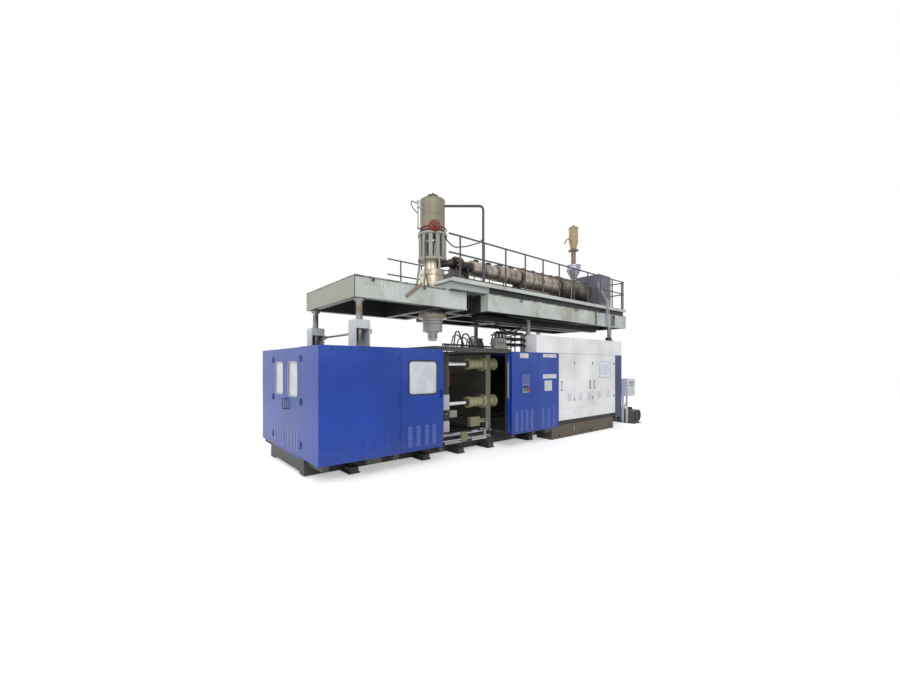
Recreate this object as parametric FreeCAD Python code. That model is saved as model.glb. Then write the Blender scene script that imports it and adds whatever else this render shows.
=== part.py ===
import FreeCAD, Part
import math
import os

os.makedirs("parts", exist_ok=True)
Vector = FreeCAD.Vector

# Overall frame: x from the left end, y from the front face, z from the floor (mm).
overall_length = 10130.0
machine_width = 3060.0
centre_y = machine_width / 2.0
panel_thickness = 30.0
cover_bottom = 280.0
cover_top = 2060.0
door_gap = 3.0
door_thickness = 27.0
door_bottom = 285.0
door_top = 2055.0

# Base frame
foot_thickness = 20.0
beam_top = 280.0
beam_inner = 815.0
beam_outer = 615.0
base_length = 8970.0
outrigger_bottom = 200.0

# Covers
left_cover_end = 2300.0
front_door_left = 1385.0
end_door_edge = 765.0
right_cover_start = 4170.0
panel_seam = 5060.0
cabinet_start = 5870.0
cabinet_end = base_length - 380.0
cabinet_front = 28.0
cabinet_back = 700.0
cabinet_bottom = 420.0
cabinet_wall = 25.0

# Lifting columns of the upper platform
column_side = 270.0
column_wall = 18.0
column_top = 2530.0
column_bore = 52.5
left_column_x = 900.0
left_column_y = (530.0, machine_width - 530.0)
mid_column_x = 5450.0
mid_column_y = (600.0, machine_width - 600.0)
rear_column_x = base_length - 220.0
rear_column_y = (250.0, machine_width - 250.0)
rear_column_side = 200.0
rear_column_top = 2462.0
screw_radius = 52.0
screw_bottom = 2180.0
frame_bottom = 2900.0
rear_screw_radius = 35.0
rear_screw_bore = 35.5
guide_radius = 18.0
guide_bore = 18.5

# Clamping portal and mould platens
portal_post = 90.0
portal_left = 2200.0
portal_right = 4180.0
portal_front = 110.0
portal_back = machine_width - portal_front - portal_post
header_bottom = 2060.0
header_top = 2120.0
platen_thickness = 140.0
left_platen_x = 2560.0
right_platen_x = 3720.0
platen_front = 330.0
platen_back = machine_width - platen_front
platen_bottom = 430.0
platen_top = 1990.0
rib_depth = 120.0
rail_top = 330.0
rail_half = 40.0
rail_y = (715.0, machine_width - 715.0)
slide_clearance = 0.3
mould_bolt_radius = 13.0
mould_bolt_y = 1200.0
mould_bolt_z = 900.0
tie_radius = 45.0
tie_y = (platen_front + 100.0, platen_back - 100.0)
tie_z = (1000.0, 1790.0)
lock_bore = 46.5
lock_radius = 100.0

# Rack and pinion that keeps both platens in step
gear_module = 8.0
pinion_teeth = 14
pinion_x = 3210.0
pinion_z = 320.0
pinion_front = 345.0
pinion_back = 390.0
addendum = 0.7 * gear_module
dedendum = gear_module
pitch_radius = gear_module * pinion_teeth / 2.0
pressure_angle = math.radians(20.0)
backlash = 1.0
shaft_radius = 14.0
shaft_bore = 14.3
upper_rack_span = (2300.0, 3500.0)
lower_rack_span = (2620.0, 3760.0)

# Upper platform
frame_top = 3270.0
deck_bottom = 3410.0
deck_top = 3470.0
platform_start = 2700.0
rail_heights = (3950.0, 4310.0)
rear_rail_heights = (4020.0, 4400.0)

# Extruder and accumulator head
extruder_y = centre_y - 400.0
extruder_z = 4040.0
barrel_radius = 110.0
barrel_start = 3560.0
feed_start = 7300.0
feed_end = feed_start + 1500.0
platform_end = feed_end + 850.0
screw_bore = 62.0
flight_radius = 61.5
head_x = 3210.0
head_y = centre_y


def box(x0, x1, y0, y1, z0, z1):
    return Part.makeBox(x1 - x0, y1 - y0, z1 - z0, Vector(x0, y0, z0))


def rod(radius, start, end):
    axis = Vector(*end) - Vector(*start)
    return Part.makeCylinder(radius, axis.Length, Vector(*start), axis)


def cone(radius_start, radius_end, start, end):
    axis = Vector(*end) - Vector(*start)
    return Part.makeCone(radius_start, radius_end, axis.Length, Vector(*start), axis)


def upright(radius, x, y, z0, z1):
    return rod(radius, (x, y, z0), (x, y, z1))


def tube(outer, inner, start, end):
    return rod(outer, start, end).cut(rod(inner, start, end))


def fused(*solids):
    body = solids[0]
    for solid in solids[1:]:
        body = body.fuse(solid)
    return body.removeSplitter()


def rounded_plate(x0, x1, y0, y1, z0, z1, radius):
    """Plate standing in the XZ plane with rounded corners."""
    plate = fused(
        box(x0 + radius, x1 - radius, y0, y1, z0, z1),
        box(x0, x1, y0, y1, z0 + radius, z1 - radius),
    )
    for x in (x0 + radius, x1 - radius):
        for z in (z0 + radius, z1 - radius):
            plate = plate.fuse(rod(radius, (x, y0, z), (x, y1, z)))
    return plate.removeSplitter()


def turned_to_end(shape):
    """Turn a part drawn on the front face onto the left end face."""
    turned = shape.copy()
    turned.rotate(Vector(0, 0, 0), Vector(0, 0, 1), -90)
    return turned


def flattened(items):
    solids = []
    for item in items:
        if isinstance(item, (list, tuple)):
            solids.extend(flattened(item))
        else:
            solids.append(item)
    return solids


def save(node, *items):
    solids = flattened(items)
    shape = solids[0] if len(solids) == 1 else Part.makeCompound(solids)
    shape = shape.copy()
    shape.translate(Vector(-overall_length / 2.0, -machine_width / 2.0, 0))
    shape.exportStep("parts/" + node + ".step")
    print(node, len(shape.Solids), round(shape.Volume / 1e9, 4))


def mirrored_y(y):
    return machine_width - y


# ---------------------------------------------------------------- base frame

cross_member_x = (60.0, 900.0, 2310.0, 4160.0, 5450.0, 7060.0, base_length - 220.0)
outrigger_x = (100.0, 1300.0, 2250.0, 4220.0, 4900.0)
foot_x = (715.0, 2160.0, 3020.0, 3870.0, 5200.0, 7500.0, base_length - 170.0)


def make_base():
    beams = []
    for y0, y1 in ((beam_outer, beam_inner), (mirrored_y(beam_inner), mirrored_y(beam_outer))):
        beams.append(box(0, base_length, y0, y1, foot_thickness, beam_top))
    members = cabinet_skid()
    for x in cross_member_x:
        members.append(box(x - 60, x + 60, beam_inner, mirrored_y(beam_inner), 60, 260))
    for x in outrigger_x:
        members.append(box(x - 50, x + 50, 0, beam_outer, outrigger_bottom, beam_top))
        members.append(box(x - 50, x + 50, mirrored_y(beam_outer), machine_width,
                           outrigger_bottom, beam_top))
    half = column_side / 2.0
    left, right = left_column_x - half, left_column_x + half
    members.append(box(left, right, 0, beam_outer, outrigger_bottom, beam_top))
    members.append(box(left, right, mirrored_y(beam_outer), machine_width, outrigger_bottom, beam_top))
    left, right = mid_column_x - half, tank_start - 10
    members.append(box(left, right, 0, beam_outer, outrigger_bottom, beam_top))
    members.append(box(left, mid_column_x + half, mirrored_y(beam_outer), machine_width,
                       outrigger_bottom, beam_top))
    for x in (base_length - 370.0, base_length - 100.0):
        members.append(box(x, x + 100, 0, beam_outer, outrigger_bottom, beam_top))
        members.append(box(x, x + 100, mirrored_y(beam_outer), machine_width,
                           outrigger_bottom, beam_top))
    feet = []
    for x in foot_x:
        reach = tank_depth + 20 if x > tank_start else 320.0
        feet.append(anchor_foot(x, reach, beam_inner, reach, beam_outer))
        feet.append(anchor_foot(x, mirrored_y(beam_inner), mirrored_y(320.0),
                                mirrored_y(beam_outer), mirrored_y(320.0)))
    save("base_frame", beams, members, feet)


def anchor_foot(x, y0, y1, block_y0, block_y1):
    plate = box(x - 100, x + 100, y0, y1, 0, foot_thickness)
    block = box(x - 70, x + 70, block_y0, block_y1, foot_thickness, 110)
    middle = (block_y0 + block_y1) / 2.0
    stud = upright(16, x, middle, 110, 170)
    nut = upright(28, x, middle, 110, 134)
    return fused(plate, block, stud, nut)


# ---------------------------------------------------------------- hinges

hinge_offset = 10.0
knuckle_radius = 9.0
knuckle_length = 55.0
hinge_pin_radius = 4.0
hinge_pin_bore = 4.3
leaf_thickness = 6.0
leaf_length = 46.0


def hinge_halves(side, fixed_leaf=leaf_length):
    """Fixed and moving half of a door hinge; the axis is the local Z axis.

    The door face is the plane y = hinge_offset and the door lies toward side * x.
    """
    length = knuckle_length
    fixed = fused(
        upright(knuckle_radius, 0, 0, 0, length),
        leaf(-side, fixed_leaf, 0, length),
        upright(hinge_pin_radius, 0, 0, 0, 2 * length - 2),
    )
    moving = fused(
        upright(knuckle_radius, 0, 0, length + 0.5, 2 * length),
        leaf(side, leaf_length, length + 0.5, 2 * length),
    )
    moving = moving.cut(upright(hinge_pin_bore, 0, 0, length - 1, 2 * length - 1.5))
    return fixed, moving


def leaf(side, reach, z0, z1):
    x0, x1 = sorted((side * 2.0, side * reach))
    return box(x0, x1, hinge_offset - leaf_thickness, hinge_offset, z0, z1)


def hinges_on_front(x, side, face_y, heights, fixed_leaf=leaf_length):
    fixed_halves = []
    moving_halves = []
    for z in heights:
        fixed, moving = hinge_halves(side, fixed_leaf)
        for half in (fixed, moving):
            half.translate(Vector(x, face_y - hinge_offset, z))
        fixed_halves.append(fixed)
        moving_halves.append(moving)
    return fixed_halves, moving_halves


def hinges_on_end(y, side, heights):
    fixed_halves = []
    moving_halves = []
    for z in heights:
        fixed, moving = hinge_halves(side)
        fixed = turned_to_end(fixed)
        moving = turned_to_end(moving)
        for half in (fixed, moving):
            half.translate(Vector(-hinge_offset, y, z))
        fixed_halves.append(fixed)
        moving_halves.append(moving)
    return fixed_halves, moving_halves


hinge_heights = (430.0, 1120.0, 1810.0)


def joined(body, parts):
    for part in parts:
        body = body.fuse(part)
    return body


# ---------------------------------------------------------------- covers

louvre_height = 8.0
louvre_pitch = 24.0


def louvres_front(x0, x1, z0, z1, face_y):
    """Pressed louvre slots: a column of small wedges proud of the face."""
    blades = []
    z = z0
    while z + louvre_height < z1:
        wire = Part.makePolygon([
            Vector(x0, face_y, z),
            Vector(x0, face_y - louvre_height, z),
            Vector(x0, face_y, z + louvre_height * 1.6),
            Vector(x0, face_y, z),
        ])
        blades.append(Part.Face(wire).extrude(Vector(x1 - x0, 0, 0)))
        z += louvre_pitch
    return blades


def column_holes(z0, z1):
    """Clearance holes for the lifting columns in the cover roofs."""
    clear = 10.0
    holes = []
    for y in left_column_y:
        holes.append(square_at(left_column_x, y, column_side + 2 * clear, z0, z1))
    for y in mid_column_y:
        holes.append(square_at(mid_column_x, y, column_side + 2 * clear, z0, z1))
    for y in rear_column_y:
        holes.append(square_at(rear_column_x, y, rear_column_side + 2 * clear, z0, z1))
    return holes


def square_at(x, y, side, z0, z1):
    half = side / 2.0
    return box(x - half, x + half, y - half, y + half, z0, z1)


def make_left_cover():
    t = panel_thickness
    low, high = cover_bottom, cover_top
    fixed_end = []
    end_front, end_front_moving = hinges_on_end(end_door_edge, -1, hinge_heights)
    end_rear, end_rear_moving = hinges_on_end(mirrored_y(end_door_edge), 1, hinge_heights)
    front_fixed, front_moving = hinges_on_front(front_door_left, 1, 0, hinge_heights)
    fixed_end.append(box(0, t, 0, end_door_edge, low, high).fuse(end_front))
    fixed_end.append(box(0, t, mirrored_y(end_door_edge), machine_width, low, high).fuse(end_rear))
    front = box(t, front_door_left, 0, t, low, high).fuse(front_fixed)
    back = box(t, left_cover_end, machine_width - t, machine_width, low, high)
    roof = box(t, portal_left - 5, t + door_gap, machine_width - t, high - t, high)
    for hole in column_holes(high - t - 1, high + 1):
        roof = roof.cut(hole)
    front_rim = box(t, front_door_left, t, t + door_gap, high - t, high)
    sill = box(0, t, beam_inner, mirrored_y(beam_inner), low - 20, low)
    save("left_cover", fixed_end, front, back, roof, front_rim, sill)
    make_end_door("end_door_front", end_door_edge + door_gap, machine_width / 2.0 - door_gap / 2.0,
                  end_front_moving, 1)
    make_end_door("end_door_rear", machine_width / 2.0 + door_gap / 2.0,
                  mirrored_y(end_door_edge) - door_gap, end_rear_moving, -1)
    make_front_door(front_moving)


window_radius = 65.0
glass_thickness = 8.0


def make_end_door(node, y0, y1, hinge_parts, handle_side):
    door = box(0, door_thickness, y0, y1, door_bottom, door_top)
    margin = (y1 - y0 - 475.0) / 2.0
    window = (y0 + margin, y1 - margin, 1245.0, 1820.0)
    opening = rounded_plate(window[0], window[1], -20, 60, window[2], window[3], window_radius)
    opening.rotate(Vector(0, 0, 0), Vector(0, 0, 1), 90)
    opening.translate(Vector(40, 0, 0))
    door = door.cut(opening)
    blades = []
    centre = (y0 + y1) / 2.0
    for offset in (-230.0, -80.0, 80.0, 230.0):
        for blade in louvres_front(centre + offset - 42, centre + offset + 42, 340.0, 700.0, 0):
            turned = turned_to_end(blade)
            turned.translate(Vector(0, 2 * centre, 0))
            blades.append(turned)
    edge = y1 - 60 if handle_side > 0 else y0 + 60
    grip = fused(
        box(-45, -33, edge - 10, edge + 10, 1000, 1190),
        box(-45, 0, edge - 10, edge + 10, 1000, 1016),
        box(-45, 0, edge - 10, edge + 10, 1174, 1190),
    )
    door = door.fuse(hinge_parts + blades + [grip])
    save(node, door)
    pane = rounded_plate(window[0] + 0.5, window[1] - 0.5, -20, 60, window[2] + 0.5, window[3] - 0.5,
                         window_radius)
    pane.rotate(Vector(0, 0, 0), Vector(0, 0, 1), 90)
    pane.translate(Vector(40, 0, 0))
    slab = box(10, 10 + glass_thickness, y0, y1, door_bottom, door_top)
    save(node + "_window", pane.common(slab))


def make_front_door(hinge_parts):
    x0, x1 = front_door_left + door_gap, left_cover_end - door_gap
    door = box(x0, x1, 0, door_thickness, door_bottom, door_top)
    window = (1554.0, 2157.0, 1255.0, 1840.0)
    door = door.cut(rounded_plate(window[0], window[1], -5, 40, window[2], window[3], window_radius))
    blades = []
    for x in (1580.0, 1750.0, 1930.0, 2090.0):
        blades.extend(louvres_front(x - 42, x + 42, 370.0, 730.0, 0))
    latch = fused(
        box(2235, 2285, -14, 0, 1180, 1330),
        box(2250, 2270, -40, -14, 1200, 1310),
    )
    door = door.fuse(hinge_parts + blades + [latch])
    save("front_door", door)
    pane = rounded_plate(window[0] + 0.5, window[1] - 0.5, 10, 10 + glass_thickness,
                         window[2] + 0.5, window[3] - 0.5, window_radius)
    save("front_door_window", pane)


# Cabinet doors: left edge, right edge, hinge edge (-1 left, 1 right), handle x
cabinet_doors = {
    "cabinet_door_left": (5903.0, 6520.0, 1, 5985.0),
    "cabinet_door_middle": (6550.0, 7367.0, -1, 7290.0),
    "cabinet_door_right": (7397.0, cabinet_end - 90.0, 1, 7480.0),
}
cabinet_hinge_heights = (560.0, 1150.0, 1840.0)


def make_right_cover():
    t = panel_thickness
    low, high = cover_bottom, cover_top
    blades_1 = []
    for x in (4330.0, 4500.0, 4670.0, 4840.0):
        blades_1.extend(louvres_front(x - 42, x + 42, 340.0, 800.0, 0))
    blades_2 = []
    for x in (5250.0, 5460.0, 5670.0):
        blades_2.extend(louvres_front(x - 42, x + 42, 340.0, 800.0, 0))
    panel_1 = box(right_cover_start, panel_seam, 0, t, low, high).fuse(blades_1)
    for x, z in (button_stop, button_start):
        panel_1 = panel_1.cut(rod(button_bore, (x, -1, z), (x, t + 1, z)))
    panel_2 = box(panel_seam + door_gap, cabinet_start - door_gap, 0, t, low, high).fuse(blades_2)
    side_edge = box(right_cover_start, right_cover_start + 25, t, 42, low, high - t)
    strip = box(cabinet_end + door_gap, base_length - t, 0, t, low, high)
    end = box(base_length - t, base_length, 0, machine_width, low, high)
    back = box(left_cover_end + door_gap, base_length - t, machine_width - t, machine_width, low, high)
    roof_left = box(portal_right + portal_post + 5, cabinet_start, 95, machine_width - t, high - t, high)
    roof_right = box(cabinet_start, base_length - t, cabinet_back + door_gap, machine_width - t,
                     high - t, high)
    roof_strip = box(cabinet_end + door_gap, base_length - t, t, cabinet_back + door_gap, high - t, high)
    parts = []
    holes = column_holes(high - t - 1, high + 1)
    for roof in (roof_left, roof_right, roof_strip):
        for hole in holes:
            roof = roof.cut(hole)
        parts.append(roof)
    save("right_cover", panel_1, panel_2, side_edge, strip, end, back, parts, bare_plates())


panel_centre = (right_cover_start + panel_seam) / 2.0 + 5.0
button_stop = (panel_centre + 60.0, 1220.0)
button_start = (panel_centre - 60.0, 1220.0)
button_bore = 20.5
button_radius = 20.0
button_travel = 6.0


def make_operator_panel():
    x0, x1, z0, z1 = panel_centre - 140, panel_centre + 140, 1150.0, 1580.0
    plate = rounded_plate(x0, x1, -12, 0, z0, z1, 12)
    for x, z in (button_stop, button_start):
        plate = plate.cut(rod(button_bore, (x, -13, z), (x, 1, z)))
    display = box(x0 + 50, x1 - 50, -16, -12, z1 - 130, z1 - 35)
    save("operator_panel", plate.fuse(display))
    x, z = button_stop
    head = rod(34, (x, -45, z), (x, -12 - button_travel - 1, z))
    stem = rod(button_radius, (x, -30, z), (x, panel_thickness + 4, z))
    save("stop_button", fused(head, stem))
    x, z = button_start
    head = rod(26, (x, -32, z), (x, -12 - button_travel - 1, z))
    stem = rod(button_radius, (x, -30, z), (x, panel_thickness + 4, z))
    save("start_button", fused(head, stem))


def bare_plates():
    """Bare rectangular plates fixed to the right cover."""
    return [
        box(panel_centre - 190, panel_centre + 100, -4, 0, 1925, 2030),
        box(panel_seam + 180, panel_seam + 700, -4, 0, 1950, 2030),
        box(panel_seam + 180, panel_seam + 700, -4, 0, 1460, 1560),
        box(panel_seam + 240, panel_seam + 526, -4, 0, 1172, 1414),
    ]


gate_start = 4110.0
gate_end = 5850.0
gate_front = 45.0
gate_back = 85.0
track_bottom = 2030.0


def make_safety_gate():
    x0, x1 = gate_start, gate_end
    z0, z1 = 320.0, 2010.0
    leaf_plate = box(x0, x1, gate_front, gate_back, z0, z1)
    window = rounded_plate(x0 + 180, x1 - 120, gate_front - 5, gate_back + 5, 1000, 1840, 40)
    leaf_plate = leaf_plate.cut(window)
    for x in (x0 + 150, x1 - 150):
        leaf_plate = leaf_plate.fuse(box(x - 60, x + 60, gate_front + 8, gate_back - 8, z1,
                                         track_bottom - slide_clearance))
    handle = fused(
        rod(16, (x0 - 30, 25, 1000), (x0 - 30, 25, 1900)),
        box(x0 - 40, x0 + 20, 25, gate_front, 1040, 1070),
        box(x0 - 40, x0 + 20, 25, gate_front, 1830, 1860),
    )
    pane = rounded_plate(x0 + 180.5, x1 - 120.5, gate_front + 14, gate_front + 22, 1000.5, 1839.5, 40)
    save("safety_gate", leaf_plate, handle)
    save("safety_gate_window", pane)


def gate_track():
    track = box(2305, cabinet_start - 10, 50, 80, track_bottom, cover_top)
    hangers = []
    for x in (2450.0, 3210.0, 3970.0):
        hangers.append(box(x - 40, x + 40, 50, portal_front, cover_top, cover_top + 20))
    for x in (4500.0, 5100.0, 5700.0):
        hangers.append(box(x - 40, x + 40, 80, 95, track_bottom, cover_top))
    return joined(track, hangers)


# ---------------------------------------------------------------- cabinet and duct

def make_cabinet():
    w = cabinet_wall
    x0, x1 = cabinet_start, cabinet_end
    y0, y1 = cabinet_front, cabinet_back
    z0, z1 = cabinet_bottom, cover_top
    walls = [
        box(x0, x0 + w, y0, y1, z0, z1),
        box(x1 - w, x1, y0, y1, z0, z1),
        box(x0 + w, x1 - w, y1 - w, y1, z0, z1),
        box(x0 + w, x1 - w, y0, y1 - w, z1 - w, z1),
        box(x0 + w, x1 - w, y0, y1 - w, z0, z0 + w),
    ]
    posts = []
    hinge_edges = ((6520.0, 1), (6550.0, -1), (cabinet_end - 90.0, 1))
    post_spans = ((x0 + w, 5903.0), (6500.0, 6570.0), (7350.0, 7417.0), (x1 - 110.0, x1 - w))
    for left, right in post_spans:
        posts.append(box(left, right, y0, y0 + w, z0 + w, z1 - w))
    front_strip_left = box(x0, 5900.0, 0, y0, z0, z1)
    front_strip_right = box(x1 - 87.0, x1, 0, y0, z0, z1)
    middle_strip = box(6523.0, 6547.0, 0, y0, z0, z1)
    narrow_strip = box(7370.0, 7394.0, 0, y0, z0, z1)
    strips = [front_strip_left, middle_strip, narrow_strip, front_strip_right]
    moving_sets = []
    for edge, side in hinge_edges:
        fixed, moving = hinges_on_front(edge + side * 2, -side, 0, cabinet_hinge_heights, 11.0)
        moving_sets.append(moving)
        target = 3 if edge > 8000 else 1
        strips[target] = strips[target].fuse(fixed)
    mounting_plate = box(x0 + 200, x1 - 200, y1 - w - 20, y1 - w, z0 + 150, z1 - 150)
    save("cabinet_shell", walls, posts, strips, mounting_plate)
    for (node, values), moving in zip(cabinet_doors.items(), moving_sets):
        make_cabinet_door(node, values, moving)


def make_cabinet_door(node, values, hinge_parts):
    left, right, side, handle_x = values
    door = box(left, right, 0, 25, cabinet_bottom + 5, cover_top - 5)
    handle = fused(
        box(handle_x - 14, handle_x + 14, -12, 0, 1180, 1340),
        box(handle_x - 9, handle_x + 9, -30, -12, 1200, 1320),
    )
    additions = hinge_parts + [handle]
    if node == "cabinet_door_right":
        screen = rounded_plate(7730, 8300, -14, 0, 1440, 1870, 15)
        screen = screen.cut(rounded_plate(7775, 8255, -15, -8, 1490, 1825, 8))
        save("operator_screen", screen)
    for x in (left + 180, right - 180):
        additions.extend(louvres_front(x - 60, x + 60, 480, 600, 0))
    save(node, door.fuse(additions))


duct_start = 5015.0
duct_depth = 420.0
duct_top = 2460.0
duct_wall = 20.0


def make_cable_duct():
    w = duct_wall
    z0, z1 = cover_top, duct_top
    x0, x1 = duct_start, base_length
    hole = square_at(rear_column_x, rear_column_y[0], rear_column_side + 20, z0 - 1, z1 + 1)
    walls = [
        box(x0, x1, 0, w, z0, z1),
        box(x0, x1, duct_depth - w, duct_depth, z0, z1),
        box(x0, x0 + w, w, duct_depth - w, z0, z1),
        box(x1 - w, x1, w, duct_depth - w, z0, z1),
        box(x0 + w, x1 - w, w, duct_depth - w, z1 - w, z1).cut(hole),
    ]
    save("cable_duct", walls)


tank_start = 5595.0
tank_end = cabinet_end - 110.0
tank_depth = 450.0
tank_top = 320.0
tank_seam = 7070.0


def make_oil_tank():
    w = 20.0
    seam = 3.0
    low_left = box(tank_start, cabinet_start, 0, tank_depth, 0, beam_top - 0.3)
    left = box(cabinet_start, tank_seam - seam, 0, tank_depth, 0, tank_top)
    right = box(tank_seam, tank_end, 0, tank_depth, 0, tank_top)
    joint = box(tank_seam - seam, tank_seam, w, tank_depth - w, 0, tank_top)
    save("oil_tank", low_left, left, right, joint)


def cabinet_skid():
    skid = [
        box(cabinet_start, cabinet_end - 20, 60, 160, tank_top, cabinet_bottom),
        box(cabinet_start, cabinet_end - 20, 580, 680, beam_top, cabinet_bottom),
    ]
    for x in (cabinet_start + 10, 7200.0, cabinet_end - 120):
        skid.append(box(x, x + 90, 160, 580, tank_top, cabinet_bottom))
    return skid


# ---------------------------------------------------------------- lifting columns

window_low = 1900.0


def column_housing(x, y, bottom):
    """Square tube with an open window that shows the screw, and a bored cap."""
    half = column_side / 2.0
    w = column_wall
    sides = [
        box(x - half, x - half + w, y - half, y + half, bottom, column_top - 40),
        box(x + half - w, x + half, y - half, y + half, bottom, column_top - 40),
        box(x - half + w, x + half - w, y + half - w, y + half, bottom, column_top - 40),
        box(x - half + w, x + half - w, y - half, y - half + w, bottom, window_low),
    ]
    cap = box(x - half, x + half, y - half, y + half, column_top - 40, column_top)
    cap = cap.cut(upright(column_bore, x, y, column_top - 41, column_top + 1))
    foot = box(x - half, x + half, y - half, y + half, bottom - 20, bottom)
    collar = upright(85, x, y, window_low - 20, window_low + 40)
    collar = collar.cut(upright(column_bore, x, y, window_low - 21, window_low + 41))
    shelf = box(x - half + w, x + half - w, y - half + w, y + half - w,
                window_low - 40, window_low - 20)
    shelf = shelf.cut(upright(column_bore, x, y, window_low - 41, window_low - 19))
    return sides + [cap, shelf.fuse(collar)]


def make_columns():
    housings = []
    screws = []
    for y in left_column_y:
        housings.extend(column_housing(left_column_x, y, beam_top))
        screws.append(lift_screw(left_column_x, y))
    for y in mid_column_y:
        housings.extend(column_housing(mid_column_x, y, beam_top))
        screws.append(lift_screw(mid_column_x, y))
    posts = []
    half = rear_column_side / 2.0
    for y in rear_column_y:
        post = box(rear_column_x - half, rear_column_x + half, y - half, y + half,
                   beam_top, rear_column_top)
        cap = box(rear_column_x - 150, rear_column_x + 150, y - half, y + half,
                  rear_column_top, rear_column_top + 25)
        post = post.fuse(cap)
        for dx, bore in ((-60, rear_screw_bore), (70, guide_bore)):
            post = post.cut(upright(bore, rear_column_x + dx, y, rear_column_top - 420,
                                    rear_column_top + 26))
        posts.append(post)
        screw = upright(rear_screw_radius, rear_column_x - 60, y, rear_column_top - 150,
                        frame_bottom - 30)
        flange = upright(65, rear_column_x - 60, y, frame_bottom - 30, frame_bottom)
        guide = upright(guide_radius, rear_column_x + 70, y, rear_column_top - 150, frame_bottom)
        screws.append(screw.fuse(flange))
        screws.append(guide)
    save("lifting_columns", housings, posts, shaft_bearings())
    save("lift_screws", screws)


def lift_screw(x, y):
    screw = upright(screw_radius, x, y, screw_bottom, frame_bottom - 40)
    flange = upright(85, x, y, frame_bottom - 40, frame_bottom)
    return screw.fuse(flange)


shaft_z = 2350.0


shaft_x = left_column_x + column_side / 2.0 + 45.0
shaft_radius_lift = 20.0


def make_jack_shaft():
    """Cross shaft that turns both left lifting screws together."""
    y0, y1 = left_column_y
    shaft = rod(shaft_radius_lift, (shaft_x, y0 - 60, shaft_z), (shaft_x, y1 + 60, shaft_z))
    for y in (y0 - 60, y1 + 40):
        shaft = shaft.fuse(rod(36, (shaft_x, y, shaft_z), (shaft_x, y + 20, shaft_z)))
    save("jack_shaft", shaft)


def shaft_bearings():
    bearings = []
    for y in left_column_y:
        block = box(shaft_x - 45, shaft_x + 35, y - 40, y + 40, shaft_z - 40, shaft_z + 40)
        bearings.append(block.cut(rod(shaft_radius_lift + 0.5, (shaft_x, y - 41, shaft_z),
                                      (shaft_x, y + 41, shaft_z))))
    return bearings


# ---------------------------------------------------------------- clamping unit

def make_portal():
    s = portal_post
    posts = []
    headers = []
    for x in (portal_left, portal_right):
        for y in (portal_front, portal_back):
            posts.append(box(x, x + s, y, y + s, beam_top, header_bottom))
        headers.append(box(x, x + s, portal_front + s, portal_back, header_bottom, header_top))
    for y in (portal_front, portal_back):
        headers.append(box(portal_left, portal_right + s, y, y + s, header_bottom, header_top))
    save("clamp_portal", posts, headers, gate_track())

    rails = []
    for y in rail_y:
        rails.append(box(2250, 4240, y - rail_half, y + rail_half, beam_top, rail_top))
    save("guide_rails", rails)


def bolt_holes(x0, x1):
    middle_z = (platen_bottom + platen_top) / 2.0
    middle_y = centre_y
    holes = []
    for y in (middle_y - mould_bolt_y / 2.0, middle_y + mould_bolt_y / 2.0):
        for z in (middle_z - mould_bolt_z / 2.0, middle_z + mould_bolt_z / 2.0):
            holes.append(rod(mould_bolt_radius, (x0 - 1, y, z), (x1 + 1, y, z)))
    return holes


shoe_half = 75.0
shoe_gap = 0.3


def platen(x0, rib_x0):
    """Mould platen with back ribs, shoes on the rails and mould bolt holes."""
    x1 = x0 + platen_thickness
    body = box(x0, x1, platen_front, platen_back, platen_bottom, platen_top)
    rib_x1 = rib_x0 + rib_depth
    ribs = []
    for y in (platen_front + 230, centre_y - 330, centre_y + 330, platen_back - 230):
        ribs.append(box(rib_x0, rib_x1, y - 20, y + 20, platen_bottom + 60, platen_top - 60))
    for z in (560.0, 1460.0, 1860.0):
        ribs.append(box(rib_x0, rib_x1, platen_front + 210, platen_back - 210, z - 20, z + 20))
    shoes = []
    for y in rail_y:
        shoes.append(box(x0, x1, y - shoe_half, y + shoe_half, rail_top + shoe_gap, platen_bottom))
    body = body.fuse(ribs + shoes)
    for hole in bolt_holes(min(x0, rib_x0), max(x1, rib_x1)):
        body = body.cut(hole)
    return body


def make_platens():
    left = platen(left_platen_x, left_platen_x - rib_depth)
    boss = rod(130, (left_platen_x - rib_depth, centre_y, 1200),
               (left_platen_x, centre_y, 1200))
    left = left.fuse(boss)
    right = platen(right_platen_x, right_platen_x + platen_thickness)
    for y in tie_y:
        for z in tie_z:
            right = right.cut(rod(lock_neck + 0.3, (right_platen_x - 1, y, z),
                                  (right_platen_x + platen_thickness + 1, y, z)))
            left = left.cut(rod(tie_radius - 0.7, (left_platen_x - 1, y, z),
                                (left_platen_x + platen_thickness + 1, y, z)))
    return left, right


lock_start = 3265.0
lock_end = 4050.0
lock_neck = 80.0
platen_rear = right_platen_x + platen_thickness
tie_start = 2480.0
tie_end = 3420.0


def make_tie_rods():
    rods = []
    locks = []
    for y in tie_y:
        for z in tie_z:
            bar = rod(tie_radius, (left_platen_x + platen_thickness, y, z), (tie_end, y, z))
            seat = rod(tie_radius - 1, (left_platen_x - 60, y, z),
                       (left_platen_x + platen_thickness, y, z))
            nut = rod(80, (tie_start - 20, y, z), (left_platen_x, y, z))
            rods.append(fused(bar, seat, nut))
            front = rod(lock_radius, (lock_start, y, z), (right_platen_x - 30, y, z))
            neck = rod(lock_neck, (right_platen_x - 40, y, z), (platen_rear, y, z))
            rear = rod(lock_radius, (platen_rear, y, z), (lock_end, y, z))
            flange = rod(145, (right_platen_x - 60, y, z), (right_platen_x, y, z))
            front_ring = rod(118, (lock_start, y, z), (lock_start + 60, y, z))
            cap = rod(130, (lock_end - 70, y, z), (lock_end, y, z))
            body = fused(front, neck, rear, flange, front_ring, cap)
            bore_end = lock_end - 120
            locks.append(body.cut(rod(lock_bore, (lock_start - 1, y, z), (bore_end, y, z))))
    save("tie_rods", rods, make_piston_rod())
    save("lock_cylinders", locks)


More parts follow.
